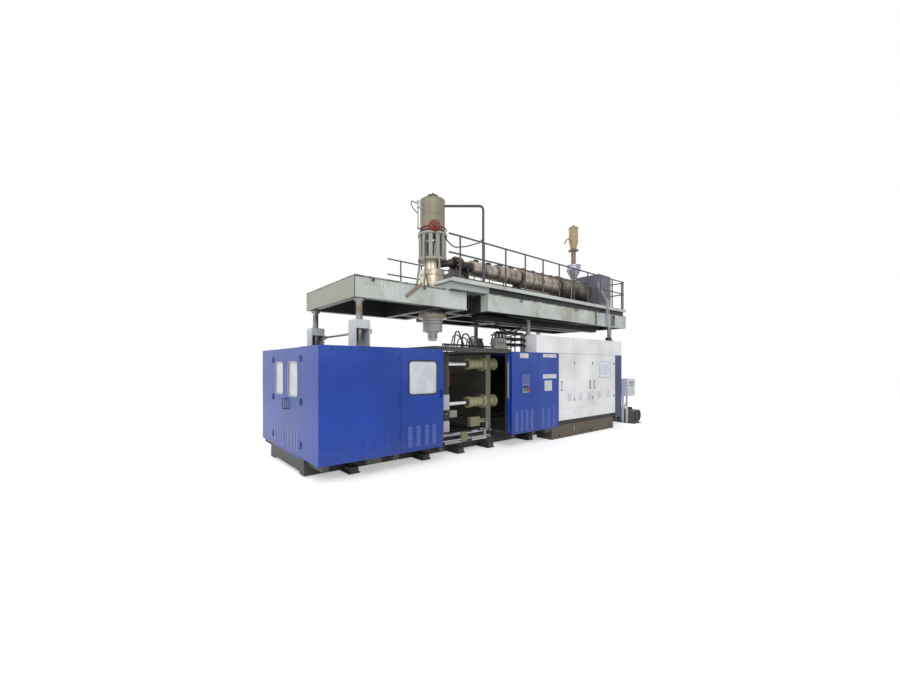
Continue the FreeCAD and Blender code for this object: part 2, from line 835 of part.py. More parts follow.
def make_piston_rod():
    y, z = centre_y, 1200.0
    return fused(
        rod(50, (1150, y, z), (left_platen_x - rib_depth, y, z)),
        rod(90, (left_platen_x - rib_depth - 40, y, z), (left_platen_x - rib_depth, y, z)),
    )


def make_traverse():
    y, z = centre_y, 1200.0
    bracket = [
        box(1500, 1620, y - 300, y - 160, 320, 1400),
        box(1500, 1620, y + 160, y + 300, 320, 1400),
        box(1500, 1620, y - 160, y + 160, 1060, 1340).cut(rod(110.3, (1499, y, z), (1621, y, z))),
        box(840, 2370, y - 300, y - 160, 260, 320),
        box(840, 2370, y + 160, y + 300, 260, 320),
    ]
    cylinder = fused(
        rod(110, (880, y, z), (1700, y, z)),
        rod(135, (880, y, z), (940, y, z)),
        rod(135, (1640, y, z), (1700, y, z)),
    ).cut(rod(51, (1000, y, z), (1701, y, z)))
    save("traverse_cylinder", cylinder, bracket)


# ---------------------------------------------------------------- rack and pinion

def involute_point(base_radius, radius):
    """Angle swept by the involute from its base circle to this radius."""
    along = math.sqrt(max((radius / base_radius) ** 2 - 1.0, 0.0))
    return along - math.atan(along)


def pinion_profile():
    """Closed outline of the pinion in local polar steps, one tooth after another."""
    base_radius = pitch_radius * math.cos(pressure_angle)
    tip = pitch_radius + addendum
    root = pitch_radius - dedendum
    half_tooth = (math.pi * gear_module / 2.0 - backlash / 2.0) / 2.0 / pitch_radius
    pitch_sweep = involute_point(base_radius, pitch_radius)
    flank_radii = [max(root, base_radius) + (tip - max(root, base_radius)) * k / 4.0 for k in range(5)]
    points = []
    for tooth in range(pinion_teeth):
        centre = 2.0 * math.pi * tooth / pinion_teeth
        left_flank = []
        for radius in flank_radii:
            half = half_tooth + pitch_sweep - involute_point(base_radius, radius)
            left_flank.append((radius, half))
        root_half = left_flank[0][1]
        points.append((root, centre - root_half))
        for radius, half in left_flank:
            points.append((radius, centre - half))
        for radius, half in reversed(left_flank):
            points.append((radius, centre + half))
        points.append((root, centre + root_half))
    return [(r * math.sin(a), r * math.cos(a)) for r, a in points]


def make_pinion():
    outline = [Vector(pinion_x + x, pinion_front, pinion_z + z) for x, z in pinion_profile()]
    outline.append(outline[0])
    gear = Part.Face(Part.makePolygon(outline)).extrude(Vector(0, pinion_back - pinion_front, 0))
    shaft = rod(shaft_radius, (pinion_x, housing_front + 3, pinion_z),
                (pinion_x, housing_back - 3, pinion_z))
    save("sync_pinion", gear.fuse(shaft))


def rack(direction, pitch_z, back_z, rack_start, rack_end):
    """Rack bar along X; direction +1 has teeth pointing up, -1 pointing down."""
    pitch = math.pi * gear_module
    tooth_tip = pitch_z + direction * addendum
    tooth_root = pitch_z - direction * dedendum
    slope = math.tan(pressure_angle)
    half_pitch_width = pitch / 4.0 - backlash / 4.0
    tip_half = half_pitch_width - addendum * slope
    root_half = half_pitch_width + dedendum * slope
    offset = pinion_x + pitch / 2.0
    first = math.ceil((rack_start + root_half - offset) / pitch)
    last = math.floor((rack_end - root_half - offset) / pitch)
    points = [(rack_start, back_z), (rack_start, tooth_root)]
    for index in range(first, last + 1):
        centre = offset + index * pitch
        points.append((centre - root_half, tooth_root))
        points.append((centre - tip_half, tooth_tip))
        points.append((centre + tip_half, tooth_tip))
        points.append((centre + root_half, tooth_root))
    points.append((rack_end, tooth_root))
    points.append((rack_end, back_z))
    outline = [Vector(x, pinion_front, z) for x, z in points]
    outline.append(outline[0])
    return Part.Face(Part.makePolygon(outline)).extrude(Vector(0, pinion_back - pinion_front, 0))


housing_front = 325.0
housing_back = 410.0
left_rack_back = 425.0
right_rack_back = 215.0
arm_front = 400.0
arm_back = 440.0


def make_synchroniser(left, right):
    upper_pitch = pinion_z + pitch_radius
    lower_pitch = pinion_z - pitch_radius
    left_bar = rack(-1, upper_pitch, left_rack_back, *upper_rack_span)
    right_bar = rack(1, lower_pitch, right_rack_back, *lower_rack_span)
    x0 = left_platen_x + 40
    left_arm = fused(
        box(x0, x0 + 70, arm_front, arm_back, 375, platen_bottom),
        box(x0, x0 + 70, pinion_back, arm_front, 390, left_rack_back),
    )
    x0 = right_platen_x + 10
    right_arm = fused(
        box(x0, x0 + 70, arm_front, arm_back, right_rack_back, platen_bottom),
        box(x0, x0 + 30, pinion_back, arm_front, right_rack_back, 250),
    )
    save("left_rack", left_bar.fuse(left_arm))
    save("right_rack", right_bar.fuse(right_arm))
    save("left_platen", left)
    save("right_platen", right)

    y0, y1 = housing_front, housing_back
    housing = box(3100, 3320, y0, y1, 195, 445)
    channel_front, channel_back = pinion_front - 2, pinion_back + 2
    for z0, z1 in ((upper_pitch - 7, left_rack_back + 1), (right_rack_back - 1, lower_pitch + 7)):
        housing = housing.cut(box(3099, 3321, channel_front, channel_back, z0, z1))
    housing = housing.cut(rod(63, (pinion_x, channel_front, pinion_z), (pinion_x, channel_back, pinion_z)))
    housing = housing.cut(rod(shaft_bore, (pinion_x, y0 - 1, pinion_z), (pinion_x, y1 + 1, pinion_z)))
    bracket = box(3150, 3270, y1, beam_outer, 200, beam_top)
    save("sync_housing", housing, bracket)


# ---------------------------------------------------------------- upper platform

floor_thickness = 20.0
side_beam_y = (415.0, 555.0)
head_frame_start = 750.0
head_frame_end = 3250.0
outer_beam_y = (210.0, 350.0)
inner_beam_y = (centre_y - 530.0, centre_y - 380.0)


def make_head_frame():
    y0, y1 = side_beam_y
    z0, z1 = frame_bottom, frame_top
    beams = [
        box(head_frame_start, head_frame_end, y0, y1, z0, z1),
        box(head_frame_start, head_frame_end, mirrored_y(y1), mirrored_y(y0), z0, z1),
        box(head_frame_start, head_frame_start + 140, y1, mirrored_y(y1), z0, z1),
        box(2560, 2700, y1, mirrored_y(y1), z0, z1),
    ]
    x = head_frame_end - 140
    beams.append(box(x, x + 140, y1, inner_beam_y[0], z0, z1))
    beams.append(box(x, x + 140, mirrored_y(inner_beam_y[0]), mirrored_y(y1), z0, z1))
    webs = []
    for x in (1300.0, 1900.0, 2400.0):
        webs.append(box(x, x + 12, y0 - 8, y0, z0 + 20, z1 - 20))
    top = box(head_frame_start, 2690, y0 - 15, y0, z1 - 20, z1)
    bottom = box(head_frame_start, head_frame_end, y0 - 15, y0, z0, z0 + 20)
    floor = box(head_frame_start + 140, 2560, y1, mirrored_y(y1), z1 - floor_thickness, z1)
    save("head_frame", beams, webs, top, bottom, floor)


def make_extruder_frame():
    z0, z1 = frame_bottom, frame_top
    start, end = 3670.0, platform_end
    y0, y1 = outer_beam_y
    beams = [
        box(start, end, y0, y1, z0, z1),
        box(start, end, mirrored_y(y1), mirrored_y(y0), z0, z1),
    ]
    a0, a1 = inner_beam_y
    beams.append(box(platform_start, end, a0, a1, z0, z1))
    beams.append(box(platform_start, end, mirrored_y(a1), mirrored_y(a0), z0, z1))
    crossings = (3670.0, 5380.0, 7300.0, end - 140.0)
    bays = ((y1, a0), (a1, mirrored_y(a1)), (mirrored_y(a0), mirrored_y(y1)))
    for x in crossings:
        for bay_y0, bay_y1 in bays:
            beams.append(box(x, x + 140, bay_y0, bay_y1, z0, z1))
    floors = []
    for left, right in zip(crossings, crossings[1:]):
        for bay_y0, bay_y1 in bays:
            floors.append(box(left + 140, right, bay_y0, bay_y1, z1 - floor_thickness, z1))
    save("extruder_frame", beams, floors)


walkway_y = (210.0, extruder_y - 280.0)


def make_walkways():
    y0, y1 = walkway_y
    front = box(platform_start, platform_end, y0, y1, deck_bottom, deck_top)
    rear = box(platform_start, platform_end, mirrored_y(y1), mirrored_y(y0), deck_bottom, deck_top)
    end = box(platform_end - 50, platform_end, y1, mirrored_y(y1), deck_bottom, deck_top)
    save("walkways", front, rear, end)


def deck_supports():
    """Low beams that carry both walkways on the platform frame."""
    y0, y1 = walkway_y
    start, stop = platform_start + 40, platform_end - 40
    beams = []
    for near, far in ((y0 + 60, y0 + 130), (y1 - 90, y1 - 20)):
        beams.append(box(start, stop, near, far, frame_top, deck_bottom))
        beams.append(box(start, stop, mirrored_y(far), mirrored_y(near), frame_top, deck_bottom))
    x = start
    while x < stop - 60:
        beams.append(box(x, x + 60, y0 + 130, y1 - 90, frame_top, deck_bottom))
        beams.append(box(x, x + 60, mirrored_y(y1 - 90), mirrored_y(y0 + 130), frame_top, deck_bottom))
        x += 910.0
    beams.append(box(platform_end - 50, platform_end, extruder_y + 450, centre_y + 570,
                     frame_top, deck_bottom))
    return beams


rail_radius = 18.0


def rail_run(start, end, stations, heights):
    """Guard rail along a straight run: posts between the deck, a mid rail and a top rail."""
    x0, y0 = start
    x1, y1 = end
    mid, top = heights
    bar = rail_radius - 1
    pieces = []
    for part in stations:
        x, y = x0 + (x1 - x0) * part, y0 + (y1 - y0) * part
        pieces.append(upright(34, x, y, deck_top, deck_top + 8))
        pieces.append(upright(rail_radius, x, y, deck_top + 8, mid - bar))
        pieces.append(upright(rail_radius, x, y, mid + bar, top - bar))
    for z in heights:
        pieces.append(rod(bar, (x0, y0, z), (x1, y1, z)))
    return pieces


def evenly(first, last, count):
    return [first + (last - first) * k / (count - 1.0) for k in range(count)]


def make_rails():
    front = rail_run((2640, 235), (platform_end - 80, 235), evenly(0.04, 0.995, 11), rail_heights)
    rear = rail_run((2810, mirrored_y(235)), (platform_end - 80, mirrored_y(235)),
                    evenly(0.055, 0.995, 11), rear_rail_heights)
    end = rail_run((platform_end - 25, 300), (platform_end - 25, mirrored_y(300)),
                   evenly(0.01, 0.99, 5), rail_heights)
    save("guard_rails", front, rear, end)


# ---------------------------------------------------------------- extruder

bed_y = (extruder_y - 180.0, extruder_y + 180.0)
bed_top = 3640.0
saddle_x = (3800.0, 5615.0)
feed_saddle_x = (7450.0, feed_end - 340.0)
feed_radius = 285.0
inlet_radius = 70.5
adapter_reach = 150.0


def axial(radius, x0, x1):
    """Cylinder on the extruder axis between two positions along the machine."""
    return rod(radius, (x0, extruder_y, extruder_z), (x1, extruder_y, extruder_z))


def cable_tray():
    """Closed tray under the platform, with stubs up to the deck in the recess beside the head."""
    tray = [box(3900, 8900, 760, 960, frame_bottom - 120, frame_bottom)]
    for x, radius in ((3320.0, 22), (3385.0, 16), (3470.0, 26), (3560.0, 18)):
        tray.append(upright(radius, x, 600, frame_bottom + 60, deck_bottom))
    return tray


def make_extruder_base():
    y0, y1 = bed_y
    barrel_seat = extruder_z - barrel_radius - 30
    feed_seat = extruder_z - feed_radius - 20
    bed = [box(3700, feed_end - 5, y0, y1, frame_top, bed_top)]
    saddles = []
    for x in saddle_x:
        bed.append(box(x, x + 60, extruder_y - 120, extruder_y + 120, bed_top, barrel_seat))
        block = box(x, x + 60, extruder_y - 120, extruder_y + 120, barrel_seat, extruder_z - 20)
        saddles.append(block.cut(axial(barrel_radius + 0.3, x - 1, x + 61)))
    for x in feed_saddle_x:
        bed.append(box(x, x + 120, extruder_y - 160, extruder_y + 160, bed_top, feed_seat))
        block = box(x, x + 120, extruder_y - 160, extruder_y + 160, feed_seat, extruder_z - 120)
        saddles.append(block.cut(axial(feed_radius + 0.3, x - 1, x + 121)))
    save("extruder_base", bed, saddles, deck_supports(), cable_tray())


def make_adapter():
    """Melt pipe from the barrel nose to the neck of the head."""
    knee = Vector(barrel_start - adapter_reach, extruder_y, extruder_z)
    toward = Vector(head_x, head_y, extruder_z) - knee
    toward.normalize()
    finish = Vector(head_x, head_y, extruder_z) - toward * 100.0
    block = fused(
        rod(70, tuple(knee), tuple(finish)),
        Part.makeSphere(95, knee),
        axial(80, knee.x, barrel_start - 40),
        axial(172, barrel_start - 50, barrel_start - 0.3),
    )
    return block.cut(upright(145.3, head_x, head_y, 3800, lantern_low))


def make_barrel():
    outer = fused(
        axial(barrel_radius, barrel_start, feed_end),
        axial(172, barrel_start, barrel_start + 110),
        axial(feed_radius, feed_start, feed_end),
    )
    barrel = outer.cut(axial(screw_bore, barrel_start + 40, feed_end + 1))
    barrel = barrel.cut(axial(45, barrel_start - 1, barrel_start + 41))
    inlet = upright(inlet_radius, hopper_x, extruder_y, extruder_z + 20, extruder_z + 400)
    save("extruder_barrel", barrel.cut(inlet), make_adapter())


# Left end, length and outside radius of each heater band.
heater_rows = (
    (3990.0, 390.0, 160.0), (4405.0, 390.0, 160.0),
    (4820.0, 380.0, 195.0), (5225.0, 380.0, 195.0),
    (5690.0, 380.0, 235.0), (6095.0, 380.0, 235.0),
    (6500.0, 380.0, 235.0), (6905.0, 380.0, 235.0),
)


def make_heater_bands():
    bore = axial(barrel_radius + 0.3, 3900, feed_start)
    bands = []
    for start, length, radius in heater_rows:
        bands.append(axial(radius, start, start + length).cut(bore))
    save("heater_bands", bands)


def make_screw():
    """Feed screw, free to turn in the barrel bore."""
    start, end = barrel_start + 60, feed_end + 30
    core = axial(34, start, end)
    tip = cone(10, 34, (start - 18, extruder_y, extruder_z), (start, extruder_y, extruder_z))
    shank = axial(50, feed_end - 60, feed_end + 30)
    flights = []
    x = start + 60
    while x < feed_end - 200:
        flights.append(axial(flight_radius, x, x + 22))
        x += 120.0
    save("extruder_screw", fused(core, tip, shank, *flights))


hopper_x = feed_end - 550.0


def make_drive():
    """Gearbox at the end of the barrel with the motor across the platform behind it."""
    y0, y1 = extruder_y - 530.0, extruder_y + 430.0
    front = feed_end + 1
    back = platform_end - 170.0
    x = (front + back) / 2.0
    body = box(front, back, y0, y1, deck_top + 20, 4510)
    lid = box(front + 20, back - 20, y0 + 20, y1 - 20, 4510, 4540)
    skirt = box(front + 20, back - 20, y0 + 20, y1 - 20, deck_top, deck_top + 20)
    pedestal = box(front + 60, back - 60, walkway_y[1] + 20, y1 - 60, frame_top, deck_top)
    socket = axial(52, feed_end, feed_end + 60)
    cover = rod(190, (x, y0 - 25, 3900), (x, y0, 3900))
    gearbox = fused(body, lid, skirt, pedestal, cover).cut(socket)
    motor = fused(
        rod(260, (x, y1, 3930), (x, y1 + 770, 3930)),
        rod(285, (x, y1, 3930), (x, y1 + 40, 3930)),
        rod(240, (x, y1 + 770, 3930), (x, y1 + 840, 3930)),
        box(x - 90, x + 90, y1 + 190, y1 + 440, 4150, 4260),
        box(x - 230, x + 230, y1 + 140, y1 + 620, frame_top, 3720),
    )
    save("drive_unit", gearbox, motor)


loader_radius = 135.0
loader_inlet_z = 5540.0


def make_hopper():
    x, y = hopper_x, extruder_y
    throat = upright(70, x, y, extruder_z + 120, 4375)
    shell = fused(
        throat,
        upright(110, x, y, extruder_z + feed_radius, extruder_z + feed_radius + 30),
        cone(75, 205, (x, y, 4375), (x, y, 4640)),
        upright(205, x, y, 4640, 4760),
        upright(215, x, y, 4760, 4790),
    )
    save("hopper", shell)
    loader = fused(
        upright(70, x, y, 4790, 5230),
        upright(150, x, y, 5230, 5260),
        cone(80, loader_radius, (x, y, 5260), (x, y, 5500)),
        upright(loader_radius, x, y, 5500, 5900),
        upright(loader_radius + 9, x, y, 5640, 5665),
        upright(loader_radius + 9, x, y, 5900, 5930),
        cone(70, 40, (x, y, 5930), (x, y, 6010)),
    )
    z = loader_inlet_z
    inlet = bent_pipe(20, [(x - loader_radius + 15, y, z), (x - 330, y, z), (x - 470, y, z - 180)], 180)
    collar = rod(34, (x - loader_radius + 15, y, z), (x - loader_radius - 40, y, z))
    save("vacuum_loader", loader.fuse([inlet, collar]))


# ---------------------------------------------------------------- accumulator head

head_bottom = 3000.0
head_top = 3900.0
head_radius = 280.0
ring_radius = 320.0
ring_bottom = 2825.0
lower_radius = 221.0
lower_bottom = 2533.0
die_radius = 105.0
die_bottom = 2327.0
stand_plate_top = frame_top + 40.0
stand_half = 450.0
lantern_low = 4120.0
lantern_high = 4735.0
lantern_radius = 335.0
lantern_flange = 50.0
slat_count = 12
slat_width = 84.0
slat_thickness = 26.0
slat_circle = 300.0
cylinder_radius = 282.0
cylinder_top = 5505.0
valve_z = 4830.0
valve_radius = 130.0
probe_offset = 401.0
push_pin_radius = 25.0
push_pin_bore = 25.5
push_pin_circle = 95.0
push_rod_radius = 60.0
push_rod_bore = 60.5


def around(radius, degrees):
    angle = math.radians(degrees)
    return head_x + radius * math.cos(angle), head_y + radius * math.sin(angle)


def at_head(radius, z0, z1):
    return upright(radius, head_x, head_y, z0, z1)


def facing_out(part, degrees):
    """Turn a part drawn on the x axis of the head to the given bearing."""
    turned = part.copy()
    turned.rotate(Vector(head_x, head_y, 0), Vector(0, 0, 1), degrees)
    return turned


def make_head():
    body = fused(
        at_head(head_radius, head_bottom, head_top),
        at_head(ring_radius, ring_bottom, head_bottom),
        at_head(145, head_top, lantern_low),
    )
    for level in (3400.0, 3640.0):
        body = body.fuse(at_head(head_radius + 10, level, level + 110))
    for degrees in range(0, 360, 30):
        x, y = around(ring_radius - 20, degrees)
        body = body.fuse(upright(14, x, y, head_bottom, head_bottom + 22))
    body = body.fuse(at_head(head_radius + 20, stand_plate_top, stand_plate_top + 30))
    for degrees in (90, 270):
        x, y = around(push_pin_circle, degrees)
        body = body.cut(upright(push_pin_bore, x, y, 3780, lantern_low + 1))
    save("accumulator_head", body)
    lower = fused(
        at_head(lower_radius, lower_bottom, ring_bottom - 60),
        at_head(lower_radius - 8, ring_bottom - 60, ring_bottom - 48),
        at_head(lower_radius + 12, ring_bottom - 48, ring_bottom),
        at_head(die_radius + 35, lower_bottom - 30, lower_bottom),
        at_head(die_radius, die_bottom + 30, lower_bottom - 30),
        at_head(die_radius - 15, die_bottom, die_bottom + 30),
    )
    for degrees in range(15, 375, 30):
        x, y = around(lower_radius - 20, degrees)
        lower = lower.fuse(upright(11, x, y, lower_bottom - 12, lower_bottom))
    save("die_head", lower)


def make_head_stand():
    """Deck plate under the head with four leaning brackets up to the lantern."""
    plate = box(head_x - stand_half, head_x + stand_half, inner_beam_y[0], mirrored_y(inner_beam_y[0]),
                frame_top, stand_plate_top)
    plate = plate.cut(at_head(head_radius + 5, frame_top - 1, stand_plate_top + 1))
    outline = [(400, stand_plate_top - 1), (445, stand_plate_top - 1), (330, lantern_low + 1),
               (296, lantern_low + 1), (312, 3900)]
    corners = [Vector(head_x + r, head_y - 15, z) for r, z in outline]
    bracket = Part.Face(Part.makePolygon(corners + corners[:1])).extrude(Vector(0, 30, 0))
    brackets = [facing_out(bracket, degrees) for degrees in (35, 125, 205, 260)]
    trim = at_head(lantern_radius + 10, lantern_low, lantern_low + 20)
    return plate.fuse(brackets).cut(trim)


def make_lantern():
    low = at_head(lantern_radius, lantern_low, lantern_low + lantern_flange)
    for degrees in (90, 270):
        x, y = around(push_pin_circle, degrees)
        low = low.cut(upright(push_pin_bore, x, y, lantern_low - 1, lantern_low + lantern_flange + 1))
    high = at_head(lantern_radius, lantern_high - lantern_flange, lantern_high)
    high = high.cut(at_head(push_rod_bore, lantern_high - lantern_flange - 1, lantern_high + 1))
    slat = box(head_x + slat_circle - slat_thickness / 2, head_x + slat_circle + slat_thickness / 2,
               head_y - slat_width / 2, head_y + slat_width / 2,
               lantern_low + lantern_flange, lantern_high - lantern_flange)
    slats = [facing_out(slat, 15 + 360.0 * k / slat_count) for k in range(slat_count)]
    save("lantern_cage", low, high, slats, make_head_stand())


def make_push_plate():
    plate = at_head(180, 4540, 4580)
    stem = at_head(push_rod_radius, 4580, 5130)
    pins = []
    for degrees in (90, 270):
        x, y = around(push_pin_circle, degrees)
        pins.append(upright(push_pin_radius, x, y, 4090, 4540))
    save("push_plate", plate.fuse([stem] + pins))


def make_injection_cylinder():
    body = fused(
        at_head(cylinder_radius, lantern_high, cylinder_top),
        at_head(cylinder_radius + 14, lantern_high, lantern_high + 45),
        cone(cylinder_radius, 130, (head_x, head_y, cylinder_top), (head_x, head_y, cylinder_top + 50)),
    )
    body = body.cut(at_head(push_rod_bore, lantern_high - 1, 5270))
    cap = at_head(130, cylinder_top + 50, cylinder_top + 110)
    facing = Vector(-0.48, -0.877, 0).normalize()
    root = Vector(head_x, head_y, valve_z)
    inner = root + facing * (cylinder_radius - 45.0)
    shoulder = root + facing * (cylinder_radius + 55.0)
    nose = root + facing * (cylinder_radius + 105.0)
    valve = rod(valve_radius, tuple(inner), tuple(shoulder))
    valve = valve.fuse(cone(valve_radius, 80, tuple(shoulder), tuple(nose)))
    valve = valve.cut(at_head(cylinder_radius + 0.3, lantern_high - 1, cylinder_top))
    valve = valve.cut(at_head(cylinder_radius + 14.3, lantern_high - 1, lantern_high + 46))
    valve = valve.cut(at_head(lantern_radius + 0.3, lantern_low, lantern_high + 0.3))
    save("red_valve", valve)
    x0 = head_x - probe_offset
    probe = fused(
        upright(16, x0, head_y, valve_z - 60, cylinder_top - 170),
        upright(30, x0, head_y, cylinder_top - 170, cylinder_top - 90),
    )
    arm = box(x0 - 20, head_x - cylinder_radius + 20, head_y - 20, head_y + 20, valve_z - 40, valve_z - 10)
    high_arm = box(x0 - 20, head_x - cylinder_radius + 20, head_y - 20, head_y + 20,
                   cylinder_top - 250, cylinder_top - 220)
    probe = fused(probe, arm, high_arm).cut(at_head(cylinder_radius + 0.3, lantern_high - 1, cylinder_top))
    probe = probe.cut(at_head(cylinder_radius + 14.3, lantern_high - 1, lantern_high + 46))
    save("injection_cylinder", body, cap, probe)


# ---------------------------------------------------------------- pipes and hoses

pipe_radius = 28.0


def bent_pipe(radius, points, bend):
    """Pipe along straight runs joined by tangent arcs of one bend radius."""
    vectors = [Vector(*p) for p in points]
    edges = []
    cursor = vectors[0]
    for before, corner, after in zip(vectors, vectors[1:], vectors[2:]):
        u = (corner - before).normalize()
        v = (after - corner).normalize()
        turn = u.getAngle(v)
        trim = bend * math.tan(turn / 2.0)
        arc_start = corner - u * trim
        arc_end = corner + v * trim
        toward = (v - u).normalize()
        centre = corner + toward * (bend / math.cos(turn / 2.0))
        arc_mid = centre - toward * bend
        edges.append(Part.LineSegment(cursor, arc_start).toShape())
        edges.append(Part.Arc(arc_start, arc_mid, arc_end).toShape())
        cursor = arc_end
    edges.append(Part.LineSegment(cursor, vectors[-1]).toShape())
    wire = Part.Wire(edges)
    start_dir = (vectors[1] - vectors[0]).normalize()
    circle = Part.Wire(Part.makeCircle(radius, vectors[0], start_dir))
    return wire.makePipeShell([circle], True, False)


pipe_exit_z = 5395.0
pipe_reach = 1155.0


def make_head_pipe():
    """Supply pipe from the injection cylinder down to the walkway, and the valve block beside it."""
    heading = Vector(0.770, -0.637, 0).normalize()
    root = Vector(head_x, head_y, pipe_exit_z)
    leave = root + heading * (cylinder_radius - 5)
    corner = root + heading * pipe_reach
    foot = Vector(corner.x, corner.y, deck_top + 10)
    pipe = bent_pipe(pipe_radius, [tuple(leave), tuple(corner), tuple(foot)], 90.0)
    collar = upright(60, corner.x, corner.y, deck_top, deck_top + 30)
    pipe = pipe.fuse(collar).cut(at_head(cylinder_radius + 0.3, 5000, cylinder_top))
    block = box(2950, 3300, 560, 790, deck_top, deck_top + 190)
    caps = [upright(55, x, 675, deck_top + 190, deck_top + 290) for x in (3040.0, 3200.0)]
    save("head_pipe", pipe, block.fuse(caps))


def air_pipe():
    z = 150.0
    points = [
        (base_length + 0.3, 700, z),
        (base_length + 330, 700, z),
        (base_length + 330, 560, z),
        (base_length + 744.7, 560, z),
    ]
    return bent_pipe(30, points, 45.0)


hose_radius = 12.0
hose_y = (800.0, 860.0, 920.0)
hose_sag = (2585.0, 2550.0, 2610.0)
tray_bottom = frame_bottom - 120.0


def check_hose(name, shape, radius, points, bends):
    """Print the bend radii of a hose and compare its volume with its length times its section."""
    length = 0.0
    turns = 0.0
    for before, corner in zip(points, points[1:]):
        length += (Vector(*corner) - Vector(*before)).Length
    for (before, corner, after), bend in zip(zip(points, points[1:], points[2:]), bends):
        turn = (Vector(*corner) - Vector(*before)).getAngle(Vector(*after) - Vector(*corner))
        turns += 2 * bend * math.tan(turn / 2.0) - bend * turn
    expected = math.pi * radius ** 2 * (length - turns)
    print(name, "bend radii", [round(b) for b in bends], "volume ratio", round(shape.Volume / expected, 4))


def hose(name, radius, points):
    """Round hose along straight runs joined by tangent arcs, each as wide as its runs allow."""
    vectors = [Vector(*p) for p in points]
    edges = []
    bends = []
    cursor = vectors[0]
    for before, corner, after in zip(vectors, vectors[1:], vectors[2:]):
        u = (corner - before).normalize()
        v = (after - corner).normalize()
        turn = u.getAngle(v)
        trim = 0.45 * min((corner - before).Length, (after - corner).Length)
        bend = trim / math.tan(turn / 2.0)
        bends.append(bend)
        arc_start = corner - u * trim
        arc_end = corner + v * trim
        toward = (v - u).normalize()
        arc_mid = corner + toward * (bend / math.cos(turn / 2.0) - bend)
        edges.append(Part.LineSegment(cursor, arc_start).toShape())
        edges.append(Part.Arc(arc_start, arc_mid, arc_end).toShape())
        cursor = arc_end
    edges.append(Part.LineSegment(cursor, vectors[-1]).toShape())
    section = Part.Wire(Part.makeCircle(radius, vectors[0], (vectors[1] - vectors[0]).normalize()))
    shape = Part.Wire(edges).makePipeShell([section], True, False)
    check_hose(name, shape, radius, points, bends)
    return shape


def make_hoses():
    """Hoses hanging under the platform, each with both ends in the cable tray."""
    hanging = []
    reach = 45.0
    for y, low in zip(hose_y, hose_sag):
        knee = low + 100.0
        tilt = math.atan(reach / (tray_bottom - knee))
        end_z = tray_bottom - 0.4 - hose_radius * math.sin(tilt)
        points = [
            (4595, y, end_z),
            (4595 + reach, y, knee),
            (4870, y, low),
            (5190, y, low),
            (5465 - reach, y, knee),
            (5465, y, end_z),
        ]
        hanging.append(hose("drop hose", hose_radius, points))
    save("drop_hoses", hanging)


# ---------------------------------------------------------------- side units

side_plate_top = 20.0


def make_control_station():
    x0, y0, y1 = base_length + 697, 152.0, 372.0
    x1 = x0 + 460
    legs = []
    for y in (175.0, 300.0):
        legs.append(box(x0 + 20, x0 + 70, y, y + 50, side_plate_top, 820))
    shell = box(x0, x1, y0, y1, 820, 1360)
    door = box(x0 + 15, x1 - 15, y0 - 12, y0, 835, 1345)
    knobs = []
    for x in (x0 + 90, x0 + 170, x0 + 250, x0 + 330):
        knobs.append(rod(18, (x, y0 - 30, 1240), (x, y0 - 12, 1240)))
    save("control_station", shell.fuse([door] + knobs), legs)


def make_blower():
    """Side channel blower with its motor towards the front, on a plate shared with the pipe."""
    x, z = base_length + 950.0, 240.0
    plate = box(x - 280, x + 200, -60, 700, 0, side_plate_top)
    body = fused(
        rod(205, (x, 500, z), (x, 620, z)),
        rod(150, (x, 430, z), (x, 500, z)),
        rod(165, (x, -20, z), (x, 430, z)),
        rod(120, (x, 620, z), (x, 660, z)),
        box(x - 150, x + 150, 0, 640, 20, 160),
        box(x - 205, x - 100, 505, 615, 110, 420),
    )
    for k in range(7):
        body = body.fuse(rod(176, (x, 50 + 52 * k, z), (x, 62 + 52 * k, z)))
    save("blower_unit", body, plate, air_pipe())


def make_valve_manifold():
    save("valve_manifold", [
        box(3760, portal_right, portal_front, portal_front + 90, header_top, header_top + 60),
        box(3800, 4120, 118, 260, header_top + 60, header_top + 220),
        box(3840, 3900, 100, 118, header_top + 90, header_top + 190),
        box(3940, 4000, 100, 118, header_top + 90, header_top + 190),
        box(4040, 4100, 100, 118, header_top + 90, header_top + 190),
    ])


rack_post_x = (4320.0, 4640.0, 4960.0)
rack_post_y = (320.0, 720.0)
rack_levels = (2200.0, 2330.0, 2460.0)
rack_post = 14.0
rack_rod = 10.0
rack_pipes = ((400.0, 22.0), (470.0, 16.0), (560.0, 28.0), (640.0, 18.0))


def make_pipe_rack():
    """Open rack of thin rods on the right cover that carries pipes beside the opening."""
    pieces = []
    x0, x1 = rack_post_x[0] - 30, rack_post_x[-1] + 45
    rail_offset = rack_post + rack_rod
    front, rear = rack_post_y[0] - rail_offset, rack_post_y[1] + rail_offset
    for x in rack_post_x:
        for y in rack_post_y:
            pieces.append(upright(rack_post, x, y, cover_top, rack_levels[-1] + 30))
    for z in rack_levels:
        pieces.append(rod(rack_rod, (x0, front, z), (x1, front, z)))
        pieces.append(rod(rack_rod, (x0, rear, z), (x1, rear, z)))
        for x in rack_post_x:
            cross_x = x + rail_offset
            cross_z = z + 2 * rack_rod
            pieces.append(rod(rack_rod, (cross_x, front - 15, cross_z), (cross_x, rear + 15, cross_z)))
        for y, radius in rack_pipes:
            centre_z = z + 3 * rack_rod + radius
            pieces.append(rod(radius, (x0, y, centre_z), (x1, y, centre_z)))
    save("pipe_rack", pieces)


